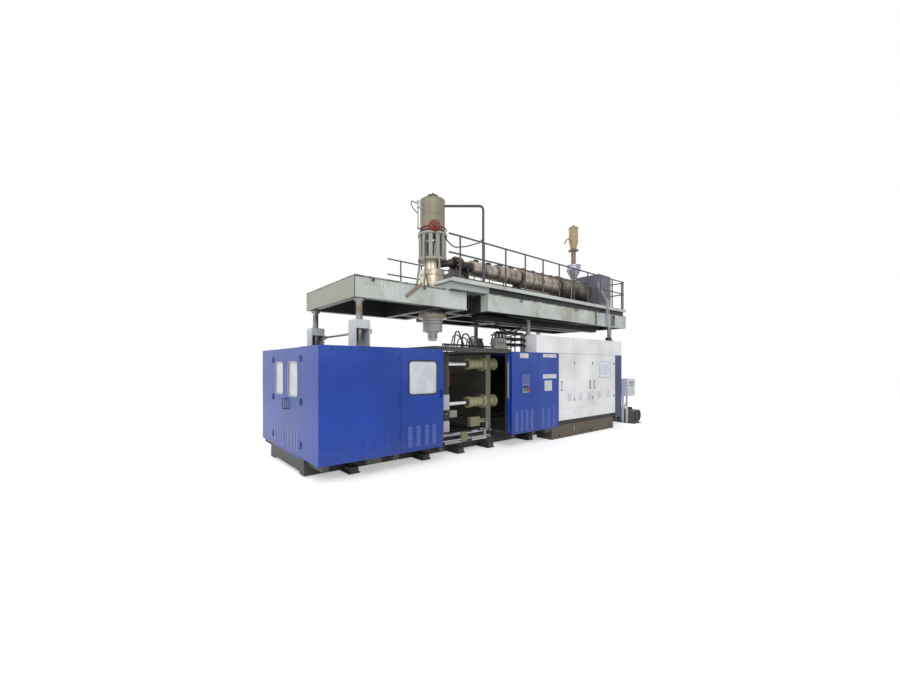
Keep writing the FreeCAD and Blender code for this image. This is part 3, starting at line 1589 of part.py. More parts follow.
make_base()
make_left_cover()
make_right_cover()
make_operator_panel()
make_safety_gate()
make_cabinet()
make_cable_duct()
make_oil_tank()
make_columns()
make_jack_shaft()
make_portal()
make_tie_rods()
make_traverse()
make_pinion()
make_synchroniser(*make_platens())
make_head_frame()
make_extruder_frame()
make_walkways()
make_rails()
make_extruder_base()
make_barrel()
make_heater_bands()
make_screw()
make_drive()
make_hopper()
make_head()
make_lantern()
make_push_plate()
make_injection_cylinder()
make_head_pipe()
make_hoses()
make_control_station()
make_blower()
make_valve_manifold()
make_pipe_rack()
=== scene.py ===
import math

import bpy
from mathutils import Matrix, Vector


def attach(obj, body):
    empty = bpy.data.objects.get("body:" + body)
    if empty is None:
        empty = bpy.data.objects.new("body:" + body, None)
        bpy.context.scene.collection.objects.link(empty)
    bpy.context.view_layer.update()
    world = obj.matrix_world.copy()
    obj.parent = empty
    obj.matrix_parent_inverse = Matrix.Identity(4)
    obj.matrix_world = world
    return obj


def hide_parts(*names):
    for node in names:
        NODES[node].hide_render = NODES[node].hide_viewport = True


bl_info = {
    "name": "Blow Moulding Machine",
    "version": (1, 0, 0),
    "blender": (4, 5, 0),
    "location": "3D View > Sidebar > Machine",
    "description": "Finishes and small parts of an accumulator blow moulding machine",
    "category": "Object",
}

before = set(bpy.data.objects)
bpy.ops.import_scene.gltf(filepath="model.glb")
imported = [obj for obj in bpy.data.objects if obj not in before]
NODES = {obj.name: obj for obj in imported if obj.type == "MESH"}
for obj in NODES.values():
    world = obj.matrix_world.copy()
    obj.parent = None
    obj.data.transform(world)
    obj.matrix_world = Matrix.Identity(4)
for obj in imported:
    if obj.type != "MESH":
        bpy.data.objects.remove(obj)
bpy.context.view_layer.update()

# The frame's origin is in the middle of the machine: these give its left end and front face.
LEFT_END = -5.065
FRONT_FACE = -1.530


def mm(x, y, z):
    """A place on the machine in millimetres from its left end, front face and the floor."""
    return Vector((LEFT_END + x / 1000.0, FRONT_FACE + y / 1000.0, z / 1000.0))


# ------------------------------------------------------------------ settings

def colour_property(name, description, default):
    return bpy.props.FloatVectorProperty(
        name=name, description=description, default=default,
        subtype="COLOR", size=3, min=0.0, max=1.0)


class PaintSettings(bpy.types.PropertyGroup):
    """Colours of the machine's painted and bare surfaces."""
    cover_blue: colour_property("Cover blue", "Paint of covers and doors", (0.002, 0.044, 0.330))
    cabinet_white: colour_property("Cabinet white", "Paint of the cabinet", (0.82, 0.83, 0.845))
    platform_green: colour_property("Platform green", "Paint of upper frames", (0.540, 0.580, 0.545))
    clamp_olive: colour_property("Clamp olive", "Paint of lock cylinders", (0.300, 0.290, 0.165))
    head_beige: colour_property("Head beige", "Paint of the head's cylinder", (0.250, 0.225, 0.165))
    valve_red: colour_property("Valve red", "Paint of the prefill valve", (0.205, 0.026, 0.009))
    loader_sand: colour_property("Loader sand", "Paint of the vacuum loader", (0.440, 0.325, 0.205))
    plinth_brown: colour_property("Plinth brown", "Paint of the oil tank", (0.085, 0.065, 0.042))
    base_black: colour_property("Base black", "Paint of the base frame", (0.016, 0.018, 0.024))
    band_copper: colour_property("Band copper", "Heat-tinted heater bands", (0.500, 0.425, 0.360))
    wear: bpy.props.FloatProperty(
        name="Wear", description="How much dust, stain and chipping the paint shows",
        default=1.0, min=0.0, max=2.0, subtype="FACTOR")


class DetailSettings(bpy.types.PropertyGroup):
    """Sizes of the small parts."""
    thread_pitch: bpy.props.FloatProperty(
        name="Thread pitch", description="Lead of the lifting screws",
        default=0.024, min=0.008, max=0.06, unit="LENGTH")
    gasket_width: bpy.props.FloatProperty(
        name="Gasket width", description="Width of the rubber round the windows",
        default=0.022, min=0.005, max=0.05, unit="LENGTH")


class StageSettings(bpy.types.PropertyGroup):
    """Floor and light."""
    floor_white: colour_property("Floor", "Colour of the plain floor", (0.93, 0.93, 0.93))
    key_power: bpy.props.FloatProperty(
        name="Key light", description="Power of the large front light",
        default=950.0, min=0.0, max=20000.0, unit="POWER")


# ------------------------------------------------------------------ shader maths

class Sock:
    """An output socket that takes part in Python expressions."""

    def __init__(self, shader, socket):
        self.shader = shader
        self.socket = socket

    def maths(self, operation, *others):
        return self.shader.add("ShaderNodeMath", {"operation": operation}, (self,) + others)

    def __add__(self, other):
        return self.maths("ADD", other)

    def __mul__(self, other):
        return self.maths("MULTIPLY", other)

    def __sub__(self, other):
        return self.maths("SUBTRACT", other)

    def __rsub__(self, other):
        return self.shader.add("ShaderNodeMath", {"operation": "SUBTRACT"}, (other, self))

    def over(self, edge):
        return self.maths("GREATER_THAN", edge)

    def under(self, edge):
        return self.maths("LESS_THAN", edge)

    def clamped(self):
        return self.shader.add("ShaderNodeClamp", {}, (self, 0.0, 1.0))

    def ramp(self, low, high):
        """Smooth rise from 0 at low to 1 at high."""
        return self.shader.add("ShaderNodeMapRange", {"interpolation_type": "SMOOTHSTEP"},
                               (self, low, high, 0.0, 1.0))


class Shader:
    """A material that is written as expressions."""

    def __init__(self, name):
        self.material = bpy.data.materials.new(name)
        self.material.use_nodes = True
        self.tree = self.material.node_tree
        self.surface = self.tree.nodes["Principled BSDF"]
        self.place = self.add("ShaderNodeTexCoord", {}, (), "Object")

    def add(self, kind, settings, values=(), output=0):
        """Adds a node: its settings, then values or links for its sockets by order or by name."""
        node = self.tree.nodes.new(kind)
        for key, value in settings.items():
            setattr(node, key, value)
        pairs = values.items() if isinstance(values, dict) else enumerate(values)
        for key, value in pairs:
            if isinstance(value, Sock):
                self.tree.links.new(value.socket, node.inputs[key])
            else:
                node.inputs[key].default_value = value
        return Sock(self, node.outputs[output])

    def noise(self, scale, detail, roughness, stretch=None, shift=(0, 0, 0)):
        place = self.place
        if stretch or shift != (0, 0, 0):
            place = self.add("ShaderNodeMapping", {}, {
                "Vector": place, "Location": shift, "Scale": stretch or (1, 1, 1)})
        return self.add("ShaderNodeTexNoise", {}, {
            "Vector": place, "Scale": scale, "Detail": detail, "Roughness": roughness}, "Fac")

    def axis(self, name):
        return self.add("ShaderNodeSeparateXYZ", {}, (self.place,), name)

    def facing(self, name):
        normal = self.add("ShaderNodeTexCoord", {}, (), "Normal")
        return self.add("ShaderNodeSeparateXYZ", {}, (normal,), name)

    def mix(self, factor, first, second):
        """Colour between first and second; a colour is a Sock or three numbers."""
        colours = [c if isinstance(c, Sock) else (*c, 1.0) for c in (first, second)]
        return self.add("ShaderNodeMix", {"data_type": "RGBA"},
                        {0: factor, 6: colours[0], 7: colours[1]}, 2)

    def finish(self, height=None, depth=0.001, **sockets):
        """Feeds the surface: colours and values by socket name, height as bump of some depth."""
        for key, value in sockets.items():
            target = self.surface.inputs[key.replace("_", " ")]
            if isinstance(value, Sock):
                self.tree.links.new(value.socket, target)
            else:
                target.default_value = value
        if height is not None:
            bump = self.add("ShaderNodeBump", {},
                            {"Strength": 1.0, "Distance": depth, "Height": height}, "Normal")
            self.tree.links.new(bump.socket, self.surface.inputs["Normal"])
        return self.material


def shade(colour, factor):
    return tuple(min(1.0, c * factor) for c in colour)


def accented(s, base, accents):
    """Each accent is a colour, then the limits of the part of the node that it is for."""
    for tone, *limits in accents:
        inside = 1.0
        for axis, way, limit in limits:
            inside = getattr(s.axis(axis), way)(limit) * inside
        base = s.mix(inside, base, tone)
    return base


GRIME = (0.035, 0.032, 0.028)
SOIL = (0.20, 0.18, 0.15)
DUST = (0.42, 0.40, 0.36)
STEEL_PRIMER = (0.16, 0.15, 0.14)
BARE_STREAK = (0.20, 0.17, 0.14)
# Metres in the frame: walls behind these are seen from inside when they face the front or left,
# and take a darker colour there as painted shade.
PLATFORM_SOFFIT = 3.27
SHADED_FAR_WALL_Y, SHADED_SIDE_WALL_Y, SHADED_SIDE_WALL_X = -0.95, -1.1, -4.2


def painted(name, colour, gloss, dusty, streaky=0.5, chips=0.5, primer=STEEL_PRIMER, under=None,
            inner=None, edge=None, painted_glare=None, patches=None, accents=()):
    """Shop paint on sheet steel: slight roller texture, dust, rain-down streaks and chips.

    under is the colour of faces that look down and inner that of the far wall seen from inside,
    both painted shade; edge a pair of heights between which grime collects; painted_glare the
    pale bloom on the upper part, as painted glare; and patches the colour of a stain.
    """
    s = Shader(name)
    wear = bpy.context.scene.machine_paint.wear
    colour = tuple(colour)
    broad = s.noise(0.9, 3.0, 0.55)
    fine = s.noise(14.0, 4.0, 0.6)
    streak = s.noise(3.5, 4.0, 0.65, stretch=(2.6, 2.6, 0.22))
    low = 1.0 - s.axis("Z").ramp(0.15, 1.25)
    upward = s.facing("Z").ramp(0.55, 0.95)
    base = s.mix(broad.ramp(0.3, 0.7), shade(colour, 0.86), shade(colour, 1.12))
    base = accented(s, base, accents)
    if patches:
        stain = s.noise(1.3, 4.0, 0.65, shift=(2, 5, 1)).ramp(0.50, 0.66)
        base = s.mix(stain * 0.55, base, patches)
    # pale bloom on the upper part: painted glare
    if painted_glare:
        low_edge, high_edge, pale, amount = painted_glare
        bloom = s.axis("Z").ramp(low_edge, high_edge) * broad.ramp(0.2, 0.7)
        base = s.mix(bloom * amount, base, pale)
    base = s.mix(streak.ramp(0.52, 0.78) * (0.22 * streaky * wear), base, shade(colour, 0.45))
    if edge:
        height = s.axis("Z")
        spots = s.noise(7.0, 4.0, 0.7).ramp(0.34, 0.56)
        grime = height.over(edge[0]) * height.under(edge[1]) * spots
        base = s.mix(grime * s.facing("Z").under(0.5) * 0.85, base, GRIME)
    # faces that look down take the under colour: painted shade
    if under:
        base = s.mix(s.facing("Z").under(-0.5), base, under)
    # walls seen from inside, facing the front or the left, take the inner colour: painted shade
    if inner:
        far = s.axis("Y").over(SHADED_FAR_WALL_Y) * s.facing("Y").under(-0.5)
        side = (s.axis("Y").over(SHADED_SIDE_WALL_Y) * s.axis("X").over(SHADED_SIDE_WALL_X)
                * s.facing("X").under(-0.5))
        base = s.mix((far + side * s.axis("Z").under(PLATFORM_SOFFIT)).clamped(), base, inner)
    soil = (fine * 0.7 + low * 0.5).ramp(0.55, 0.95) * (0.30 * dusty * wear)
    base = s.mix(soil, base, SOIL)
    dust = upward * fine.ramp(0.25, 0.75) * (0.42 * dusty * wear)
    base = s.mix(dust, base, DUST)
    speck = s.noise(46.0, 2.0, 0.5).ramp(0.735, 0.75) * s.noise(3.1, 2.0, 0.5).ramp(0.5, 0.62)
    chip = speck * min(1.0, chips * wear)
    base = s.mix(chip, base, primer)
    rough = fine * 0.16 + (gloss - 0.06) + dust * 0.5 + soil * 0.4 + chip * 0.2
    height = s.noise(260.0, 2.0, 0.5) * 0.16 + fine * 0.10 - chip * 0.5
    return s.finish(height, 0.0016, Base_Color=base, Roughness=rough.clamped(),
                    Specular_IOR_Level=0.36)


def bare_steel(name, colour, rough, metallic=0.9, grain=(1, 1, 30), wear=1.0, accents=(), *, tint):
    """Bare machined steel: fine tool marks, oily blotches and heat tint."""
    s = Shader(name)
    marks = s.noise(60.0, 3.0, 0.6, stretch=grain)
    blotch = s.noise(4.5, 4.0, 0.6)
    base = s.mix(marks.ramp(0.3, 0.7), shade(colour, 0.80), shade(colour, 1.18))
    base = accented(s, base, accents)
    base = s.mix(blotch.ramp(0.5, 0.75) * (0.45 * wear), base, shade(colour, 0.42))
    base = s.mix(s.noise(2.3, 3.0, 0.6, shift=(3, 1, 2)).ramp(0.42, 0.66) * 0.8, base, tint)
    roughness = (marks * 0.22 + blotch * 0.22 + (rough - 0.2)).clamped()
    return s.finish(marks * 0.5 + blotch * 0.5, 0.0008, Base_Color=base, Roughness=roughness,
                    Metallic=metallic)


def chromed(name, colour=(0.62, 0.62, 0.62)):
    """Hard chrome rod with faint polishing marks and an oil film."""
    s = Shader(name)
    marks = s.noise(90.0, 2.0, 0.5, stretch=(0.15, 1, 1))
    film = s.noise(5.0, 3.0, 0.6)
    base = s.mix(film.ramp(0.45, 0.75) * 0.3, colour, shade(colour, 0.7))
    roughness = (marks * 0.10 + film * 0.10 + 0.05).clamped()
    return s.finish(marks, 0.0002, Base_Color=base, Roughness=roughness, Metallic=1.0)


def moulded(name, colour, rough=0.45):
    """Moulded plastic with a fine grain."""
    s = Shader(name)
    grain = s.noise(420.0, 2.0, 0.5)
    tone = s.noise(7.0, 3.0, 0.5)
    base = s.mix(tone.ramp(0.3, 0.7), shade(colour, 0.88), shade(colour, 1.1))
    roughness = (tone * 0.2 + (rough - 0.1)).clamped()
    return s.finish(grain, 0.0004, Base_Color=base, Roughness=roughness)


def rubber(name, colour=(0.018, 0.018, 0.019)):
    """Matt hose or gasket rubber with a dusty bloom."""
    s = Shader(name)
    bloom = s.noise(9.0, 4.0, 0.6)
    grain = s.noise(300.0, 2.0, 0.5)
    base = s.mix(bloom.ramp(0.4, 0.75) * 0.5, colour, (0.07, 0.068, 0.064))
    return s.finish(grain, 0.0006, Base_Color=base, Roughness=(bloom * 0.25 + 0.5).clamped())


def window_pane(name):
    """Scuffed clear plastic window that catches the pale light of the hall."""
    s = Shader(name)
    haze = s.noise(3.0, 4.0, 0.6)
    scuff = s.noise(120.0, 2.0, 0.5, stretch=(1, 1, 0.1))
    base = s.mix(haze.ramp(0.35, 0.7), (0.62, 0.66, 0.74), (0.78, 0.81, 0.87))
    return s.finish(scuff, 0.0002, Base_Color=base, Roughness=(haze * 0.12 + 0.06).clamped(),
                    Alpha=(haze * 0.10 + 0.80).clamped())


def cast_iron(name, colour=(0.035, 0.035, 0.038)):
    """Rough cast surface with a sheen of oil."""
    s = Shader(name)
    grain = s.noise(70.0, 4.0, 0.65)
    oil = s.noise(3.5, 3.0, 0.6)
    base = s.mix(oil.ramp(0.4, 0.7), colour, shade(colour, 1.9))
    roughness = (grain * 0.25 + oil * 0.2 + 0.25).clamped()
    return s.finish(grain, 0.002, Base_Color=base, Roughness=roughness, Metallic=0.6)


def galvanised(name, low, high):
    """Zinc spangle on sheet steel."""
    s = Shader(name)
    spangle = s.add("ShaderNodeTexVoronoi", {"feature": "F1"}, {"Vector": s.place, "Scale": 38.0},
                    "Color")
    tone = s.add("ShaderNodeSeparateColor", {}, (spangle,), "Red")
    stain = s.noise(3.0, 4.0, 0.6)
    base = s.mix(tone, low, high)
    base = s.mix(stain.ramp(0.5, 0.8) * 0.5, base, BARE_STREAK)
    roughness = (tone * 0.15 + stain * 0.25 + 0.2).clamped()
    return s.finish(tone, 0.0003, Base_Color=base, Roughness=roughness, Metallic=0.75)


# ------------------------------------------------------------------ finishes

RUST_PRIMER = (0.10, 0.055, 0.03)
WARM_PRIMER = (0.10, 0.06, 0.035)
BASE_PRIMER = (0.07, 0.045, 0.03)
# lighter blues on the louvres: painted highlight
LOUVRE_HIGHLIGHT_BLUE = (0.170, 0.260, 0.740)
END_LOUVRE_HIGHLIGHT_BLUE = (0.260, 0.330, 0.660)
# dark blue of the strip at the right end: painted shade
SHADED_STRIP_BLUE = (0.001, 0.014, 0.100)
SEAM_BLUE = (0.001, 0.006, 0.040)
SEAM_WIDTH = 0.007
# Sheet seams of a wall: the axis it faces and where it begins, the axis across it, their places.
SEAMS = (("Y", 1.52, "X", (-3.92, -1.65, -0.55, 0.60, 1.75, 2.90)), ("X", 3.90, "Y", (-0.50, 0.52)))
# Parts of the nodes that get a colour of their own, as limits in metres in the frame; on the
# louvres it is a painted highlight, on the right strip and the frame's left end painted shade.
FRONT_LOUVRES = (("Y", "under", -1.5335), ("Z", "under", 0.82), ("X", "over", -3.56))
END_LOUVRES = (("X", "under", -5.0685), ("Z", "under", 0.72), ("Y", "over", -0.74),
               ("Y", "under", 0.74))
SHADED_RIGHT_STRIP = (("X", "over", 3.435), ("Y", "under", -1.45))
# the left end of the frame: a yellower grey, darkened as painted shade
SHADED_FRAME_END = ("X", "under", -4.3115)
PROBE = ("X", "under", -2.15)
CYLINDER_TOP = ("Z", "over", 5.548)
LOADER_FOOT = ("Z", "under", 5.30)
DECK_END = (("X", "under", -1.30), ("Z", "over", 3.262))
PLATEN_FOOT = ("Y", "under", -1.196)
FEED_ZONE = ("X", "over", 2.23)


def cover_accents():
    """Painted highlight on louvres, painted shade on the right strip, and the covers' sheet seams.
    """
    accents = [(LOUVRE_HIGHLIGHT_BLUE, *FRONT_LOUVRES), (END_LOUVRE_HIGHLIGHT_BLUE, *END_LOUVRES),
               (SHADED_STRIP_BLUE, *SHADED_RIGHT_STRIP)]
    for wall, start, axis, places in SEAMS:
        for seam in places:
            accents.append((SEAM_BLUE, (wall, "over", start), (axis, "over", seam),
                            (axis, "under", seam + SEAM_WIDTH)))
    return accents


def make_finishes():
    """Every finish by name; paint takes roughness, dust, streaks and chips in that order."""
    paint = bpy.context.scene.machine_paint
    return {
        "cover": painted("Cover blue paint", paint.cover_blue, 0.30, 0.45, 0.5, 0.25,
                         # the inner colour darkens walls seen from inside: painted shade
                         primer=(0.10, 0.10, 0.11), inner=(0.090, 0.088, 0.068),
                         # pale bloom on the upper part of the covers: painted glare
                         painted_glare=(1.1, 2.1, (0.045, 0.090, 0.340), 0.5), accents=cover_accents()),
        "cabinet": painted("Cabinet white paint", paint.cabinet_white, 0.38, 0.12, 0.12, 0.12),
        "platform": painted("Platform green paint", paint.platform_green, 0.36, 0.7, 1.7, 0.9,
                            # the under and inner colours are painted shade on faces that look down
                            # and on inner walls
                            RUST_PRIMER, under=(0.016, 0.020, 0.017), inner=(0.040, 0.046, 0.041),
                            edge=(3.246, 3.275), patches=(0.270, 0.262, 0.185),
                            # left end of the frame in a yellower grey, darkened as painted shade
                            accents=[((0.345, 0.345, 0.285), SHADED_FRAME_END)]),
        "olive": painted("Clamp olive paint", paint.clamp_olive, 0.32, 0.5, 0.7, 0.5,
                         (0.08, 0.06, 0.04)),
        "beige": painted("Head beige paint", paint.head_beige, 0.38, 0.6, 1.5, 0.9, WARM_PRIMER,
                         accents=[((0.50, 0.50, 0.50), PROBE),
                                  ((0.045, 0.035, 0.028), CYLINDER_TOP)]),
        "red": painted("Valve red paint", paint.valve_red, 0.40, 0.5, 0.6, 0.6),
        "sand": painted("Loader sand paint", paint.loader_sand, 0.36, 0.5, 0.7, 0.4,
                        accents=[((0.250, 0.180, 0.150), LOADER_FOOT)]),
        # brown paint of the diagonal bar on the head frame's front
        "diagonal_brown": painted("Brown diagonal brace", (0.270, 0.205, 0.145), 0.42, 0.6, 1.2, 0.9),
        "brown": painted("Plinth brown paint", paint.plinth_brown, 0.45, 0.9, 0.9, 0.7),
        "black": painted("Base black paint", paint.base_black, 0.42, 0.8, 0.6, 0.5, BASE_PRIMER),
        "deck_beams": painted("Deck beam paint", paint.base_black, 0.42, 0.8, 0.8, 0.6,
                              accents=[(shade(paint.platform_green, 0.72), *DECK_END)]),
        "rail": painted("Guard rail black paint", (0.075, 0.072, 0.078), 0.34, 0.4, 0.3, 0.6),
        "grey": painted("Machine grey paint", (0.235, 0.245, 0.215), 0.40, 0.7, 0.8, 0.5),
        "platen_dark": painted("Left platen paint", (0.060, 0.060, 0.056), 0.40, 0.9, 1.2, 0.9),
        "platen_olive": painted("Right platen paint", (0.062, 0.060, 0.050), 0.38, 0.9, 1.3, 0.9,
                                accents=[((0.150, 0.152, 0.110), PLATEN_FOOT)]),
        "column": painted("Column paint", (0.600, 0.640, 0.640), 0.38, 0.6, 1.2, 0.7),
        "blower": painted("Blower paint", (0.150, 0.142, 0.120), 0.36, 1.0, 0.8, 0.8),
        "lilac_box": painted("Junction box paint", (0.43, 0.42, 0.50), 0.40, 0.5, 0.5, 0.3),
        "olive_dark": painted("Locking cylinder trim", shade(paint.clamp_olive, 0.75),
                              0.35, 0.5, 0.6, 0.5),
        "pink": painted("Gate handle rose", (0.30, 0.215, 0.225), 0.36, 0.4, 0.5, 0.3),
        "dark_red": painted("Dark red trim", (0.110, 0.014, 0.010), 0.40, 0.4),
        "station_face": painted("Control station face", (0.60, 0.64, 0.60), 0.36, 0.3, 0.5, 0.2),
        "clamp_dark": painted("Clamp frame paint", (0.070, 0.076, 0.062), 0.42, 0.8, 0.8, 0.6,
                              BASE_PRIMER),
        "drive": painted("Drive blue-grey paint", (0.165, 0.160, 0.205), 0.38, 0.5, 0.6, 0.4),
        "lantern": painted("Lantern cream paint", (0.33, 0.33, 0.30), 0.40, 0.5, 0.8, 0.6,
                           WARM_PRIMER),
        "head_steel": bare_steel("Head heat-tinted steel", (0.85, 0.76, 0.60), 0.30, 0.35,
                                 tint=(0.36, 0.27, 0.18)),
        "bands": bare_steel("Heater band steel", paint.band_copper, 0.36, 0.8, (12, 1, 1),
                            tint=(0.20, 0.135, 0.10)),
        "steel": bare_steel("Machined steel", (0.42, 0.42, 0.41), 0.36, tint=(0.22, 0.19, 0.15)),
        "thread": bare_steel("Screw thread steel", (0.36, 0.31, 0.26), 0.42, 0.8,
                             tint=(0.13, 0.07, 0.045)),
        "barrel": bare_steel("Browned feed steel", (0.075, 0.060, 0.055), 0.42, 0.7,
                             tint=(0.035, 0.022, 0.018),
                             accents=[((0.235, 0.215, 0.165), FEED_ZONE)]),
        "bright": bare_steel("Bright lower head", (0.95, 0.95, 0.97), 0.34, 0.15,
                             tint=(0.74, 0.71, 0.66), wear=0.5),
        "chrome": chromed("Hard chrome"),
        "iron": cast_iron("Cast iron"),
        "window": window_pane("Scuffed window"),
        "rubber": rubber("Black rubber"),
        "zinc": galvanised("Zinc sheet", (0.32, 0.34, 0.33), (0.37, 0.39, 0.38)),
        "galvanised": galvanised("Hopper sheet", (0.30, 0.30, 0.36), (0.44, 0.44, 0.53)),
        "panel": moulded("Operator panel blue-grey", (0.075, 0.100, 0.330)),
        "stop": moulded("Stop button red", (0.46, 0.012, 0.010), 0.3),
        "start": moulded("Start button green", (0.010, 0.22, 0.035), 0.3),
        "plate": moulded("Bare label plate", (0.60, 0.61, 0.64), 0.38),
        "lamp": moulded("Panel lamp", (0.34, 0.36, 0.40), 0.22),
        "frame_grey": moulded("Frame grey", (0.34, 0.36, 0.42), 0.4),
        "keypad": moulded("Keypad face", (0.80, 0.82, 0.86), 0.35),
        "key": moulded("Pale blue key", (0.56, 0.64, 0.80), 0.4),
    }


NODE_FINISH = {
    "cover": ("left_cover", "right_cover", "front_door", "end_door_front", "end_door_rear",
              "safety_gate"),
    "cabinet": ("cabinet_shell", "cabinet_door_left", "cabinet_door_middle", "cabinet_door_right",
                "cable_duct", "control_station"),
    "platform": ("head_frame", "extruder_frame", "walkways"),
    "column": ("lifting_columns",),
    "blower": ("blower_unit",),
    "drive": ("drive_unit",),
    "clamp_dark": ("clamp_portal",),
    "lantern": ("lantern_cage",),
    "barrel": ("extruder_barrel",),
    "bright": ("die_head",),
    "olive": ("lock_cylinders", "traverse_cylinder"),
    "beige": ("injection_cylinder",),
    "red": ("red_valve",),
    "sand": ("vacuum_loader",),
    "brown": ("oil_tank",),
    "black": ("base_frame", "pipe_rack"),
    "deck_beams": ("extruder_base",),
    "rail": ("guard_rails", "head_pipe"),
    "grey": ("valve_manifold",),
    "platen_dark": ("left_platen",),
    "platen_olive": ("right_platen",),
    "head_steel": ("accumulator_head",),
    "bands": ("heater_bands",),
    "steel": ("extruder_screw", "push_plate", "lift_screws", "jack_shaft", "guide_rails",
              "left_rack", "right_rack", "sync_pinion"),
    "chrome": ("tie_rods",),
    "iron": ("sync_housing",),
    "rubber": ("drop_hoses",),
    "window": ("end_door_front_window", "end_door_rear_window", "front_door_window",
               "safety_gate_window"),
    "panel": ("operator_panel",),
    "keypad": ("operator_screen",),
    "stop": ("stop_button",),
    "start": ("start_button",),
    "galvanised": ("hopper",),
}

FINISH = {}


class MACHINE_OT_finishes(bpy.types.Operator):
    """Give every CAD node its material"""
    bl_idname = "machine.finishes"
    bl_label = "Machine finishes"

    def execute(self, context):
        FINISH.update(make_finishes())
        for finish, nodes in NODE_FINISH.items():
            for node in nodes:
                mesh = NODES[node].data
                mesh.materials.clear()
                mesh.materials.append(FINISH[finish])
        return {"FINISHED"}


# ------------------------------------------------------------------ stage

def seen_rays(tree):
    """1 for rays that come from the camera, a mirror-like surface or through glass."""
    rays = tree.nodes.new("ShaderNodeLightPath").outputs
    seen = rays["Is Camera Ray"]
    for name in ("Is Glossy Ray", "Is Transmission Ray"):
        either = tree.nodes.new("ShaderNodeMath")
        either.operation = "MAXIMUM"
        tree.links.new(seen, either.inputs[0])
        tree.links.new(rays[name], either.inputs[1])
        seen = either.outputs[0]
    return seen


def floor_material(colour):
    """Pale floor, lifted for seen rays to the white of the background; it keeps its shadow."""
    material = bpy.data.materials.new("Plain floor")
    material.use_nodes = True
    tree = material.node_tree
    surface = tree.nodes["Principled BSDF"]
    for name, value in (("Base Color", (*colour, 1.0)), ("Roughness", 0.75),
                        ("Specular IOR Level", 0.0), ("Emission Strength", 1.0)):
        surface.inputs[name].default_value = value
    lift = tree.nodes.new("ShaderNodeMix")
    lift.data_type = "RGBA"
    lift.inputs[6].default_value = (0.0, 0.0, 0.0, 1.0)
    lift.inputs[7].default_value = (0.42, 0.42, 0.42, 1.0)
    tree.links.new(seen_rays(tree), lift.inputs[0])
    tree.links.new(lift.outputs[2], surface.inputs["Emission Color"])
    return material


class MACHINE_OT_stage(bpy.types.Operator):
    """Set the floor, the light and the camera"""
    bl_idname = "machine.stage"
    bl_label = "Stage"

    def execute(self, context):
        settings = context.scene.machine_stage
        deselect()
        bpy.ops.mesh.primitive_plane_add(size=120.0, location=(0, 0, -0.002))
        floor = context.object
        floor.name = "floor"
        floor.data.materials.append(floor_material(settings.floor_white))
        self.add_world(context)
        power = settings.key_power
        self.add_lamp("key", (-9.0, -13.0, 11.0), (0.0, 0.0, 2.0), 9.0, power)
        self.add_lamp("left_fill", (-17.0, 2.0, 8.0), (-2.0, 0.0, 2.0), 8.0, power * 0.45)
        self.add_lamp("back_rim", (6.0, 13.0, 10.0), (1.0, 0.0, 3.0), 8.0, power * 0.5)
        self.add_camera(context)
        context.scene.view_settings.view_transform = "Standard"
        return {"FINISHED"}

    @staticmethod
    def add_world(context):
        """Soft even light from all round, and a white background for seen rays."""
        world = bpy.data.worlds.new("Pale hall")
        world.use_nodes = True
        tree = world.node_tree
        light = tree.nodes["Background"]
        seen = tree.nodes.new("ShaderNodeBackground")
        for background, strength in ((light, 0.62), (seen, 1.0)):
            background.inputs["Color"].default_value = (1.0, 1.0, 1.0, 1.0)
            background.inputs["Strength"].default_value = strength
        blend = tree.nodes.new("ShaderNodeMixShader")
        tree.links.new(seen_rays(tree), blend.inputs[0])
        tree.links.new(light.outputs[0], blend.inputs[1])
        tree.links.new(seen.outputs[0], blend.inputs[2])
        tree.links.new(blend.outputs[0], tree.nodes["World Output"].inputs["Surface"])
        context.scene.world = world

    @staticmethod
    def add_lamp(name, place, target, size, power):
        data = bpy.data.lights.new(name, "AREA")
        data.shape = "SQUARE"
        data.size = size
        data.energy = power
        lamp = bpy.data.objects.new(name, data)
        bpy.context.collection.objects.link(lamp)
        lamp.location = place
        lamp.rotation_mode = "QUATERNION"
        lamp.rotation_quaternion = (Vector(target) - Vector(place)).to_track_quat("-Z", "Y")

    @staticmethod
    def add_camera(context):
        data = bpy.data.cameras.new("photograph")
        data.sensor_width = 36.0
        data.lens = 15.44
        data.shift_y = 0.0317
        data.clip_end = 300.0
        camera = bpy.data.objects.new("photograph", data)
        context.collection.objects.link(camera)
        camera.location = (-7.154, -7.030, 1.750)
        camera.rotation_euler = (math.radians(90.0), 0.0, math.radians(-39.6))
        context.scene.camera = camera


# ------------------------------------------------------------------ shapes

UP, FRONT, RIGHT = (0, 0, 1), (0, -1, 0), (1, 0, 0)
WAYS = {"Z": UP, "-Z": (0, 0, -1), "X": RIGHT, "-X": (-1, 0, 0), "-Y": FRONT}


def place(point):
    """Three numbers are millimetres on the machine, a Vector is metres in the frame."""
    return point if isinstance(point, Vector) else mm(*point)


def deselect():
    bpy.ops.object.select_all(action="DESELECT")


def select(obj):
    deselect()
    obj.select_set(True)
    bpy.context.view_layer.objects.active = obj


def set_in_mesh():
    bpy.ops.object.transform_apply(location=True, rotation=True, scale=True)


def apply_modifiers(obj):
    select(obj)
    for modifier in list(obj.modifiers):
        bpy.ops.object.modifier_apply(modifier=modifier.name)


def modified(obj, kind, **settings):
    """Adds one modifier with its settings and applies it."""
    modifier = obj.modifiers.new(kind, kind)
    for key, value in settings.items():
        setattr(modifier, key, value)
    apply_modifiers(obj)
    return obj


def add_bevel(obj, width, segments=2, angle=0.6):
    return modified(obj, "BEVEL", width=width, segments=segments, limit_method="ANGLE",
                    angle_limit=angle)


def row_of(obj, count, step):
    """Array of one piece along a step."""
    return modified(obj, "ARRAY", count=count, use_relative_offset=False,
                    use_constant_offset=True, constant_offset_displace=step)


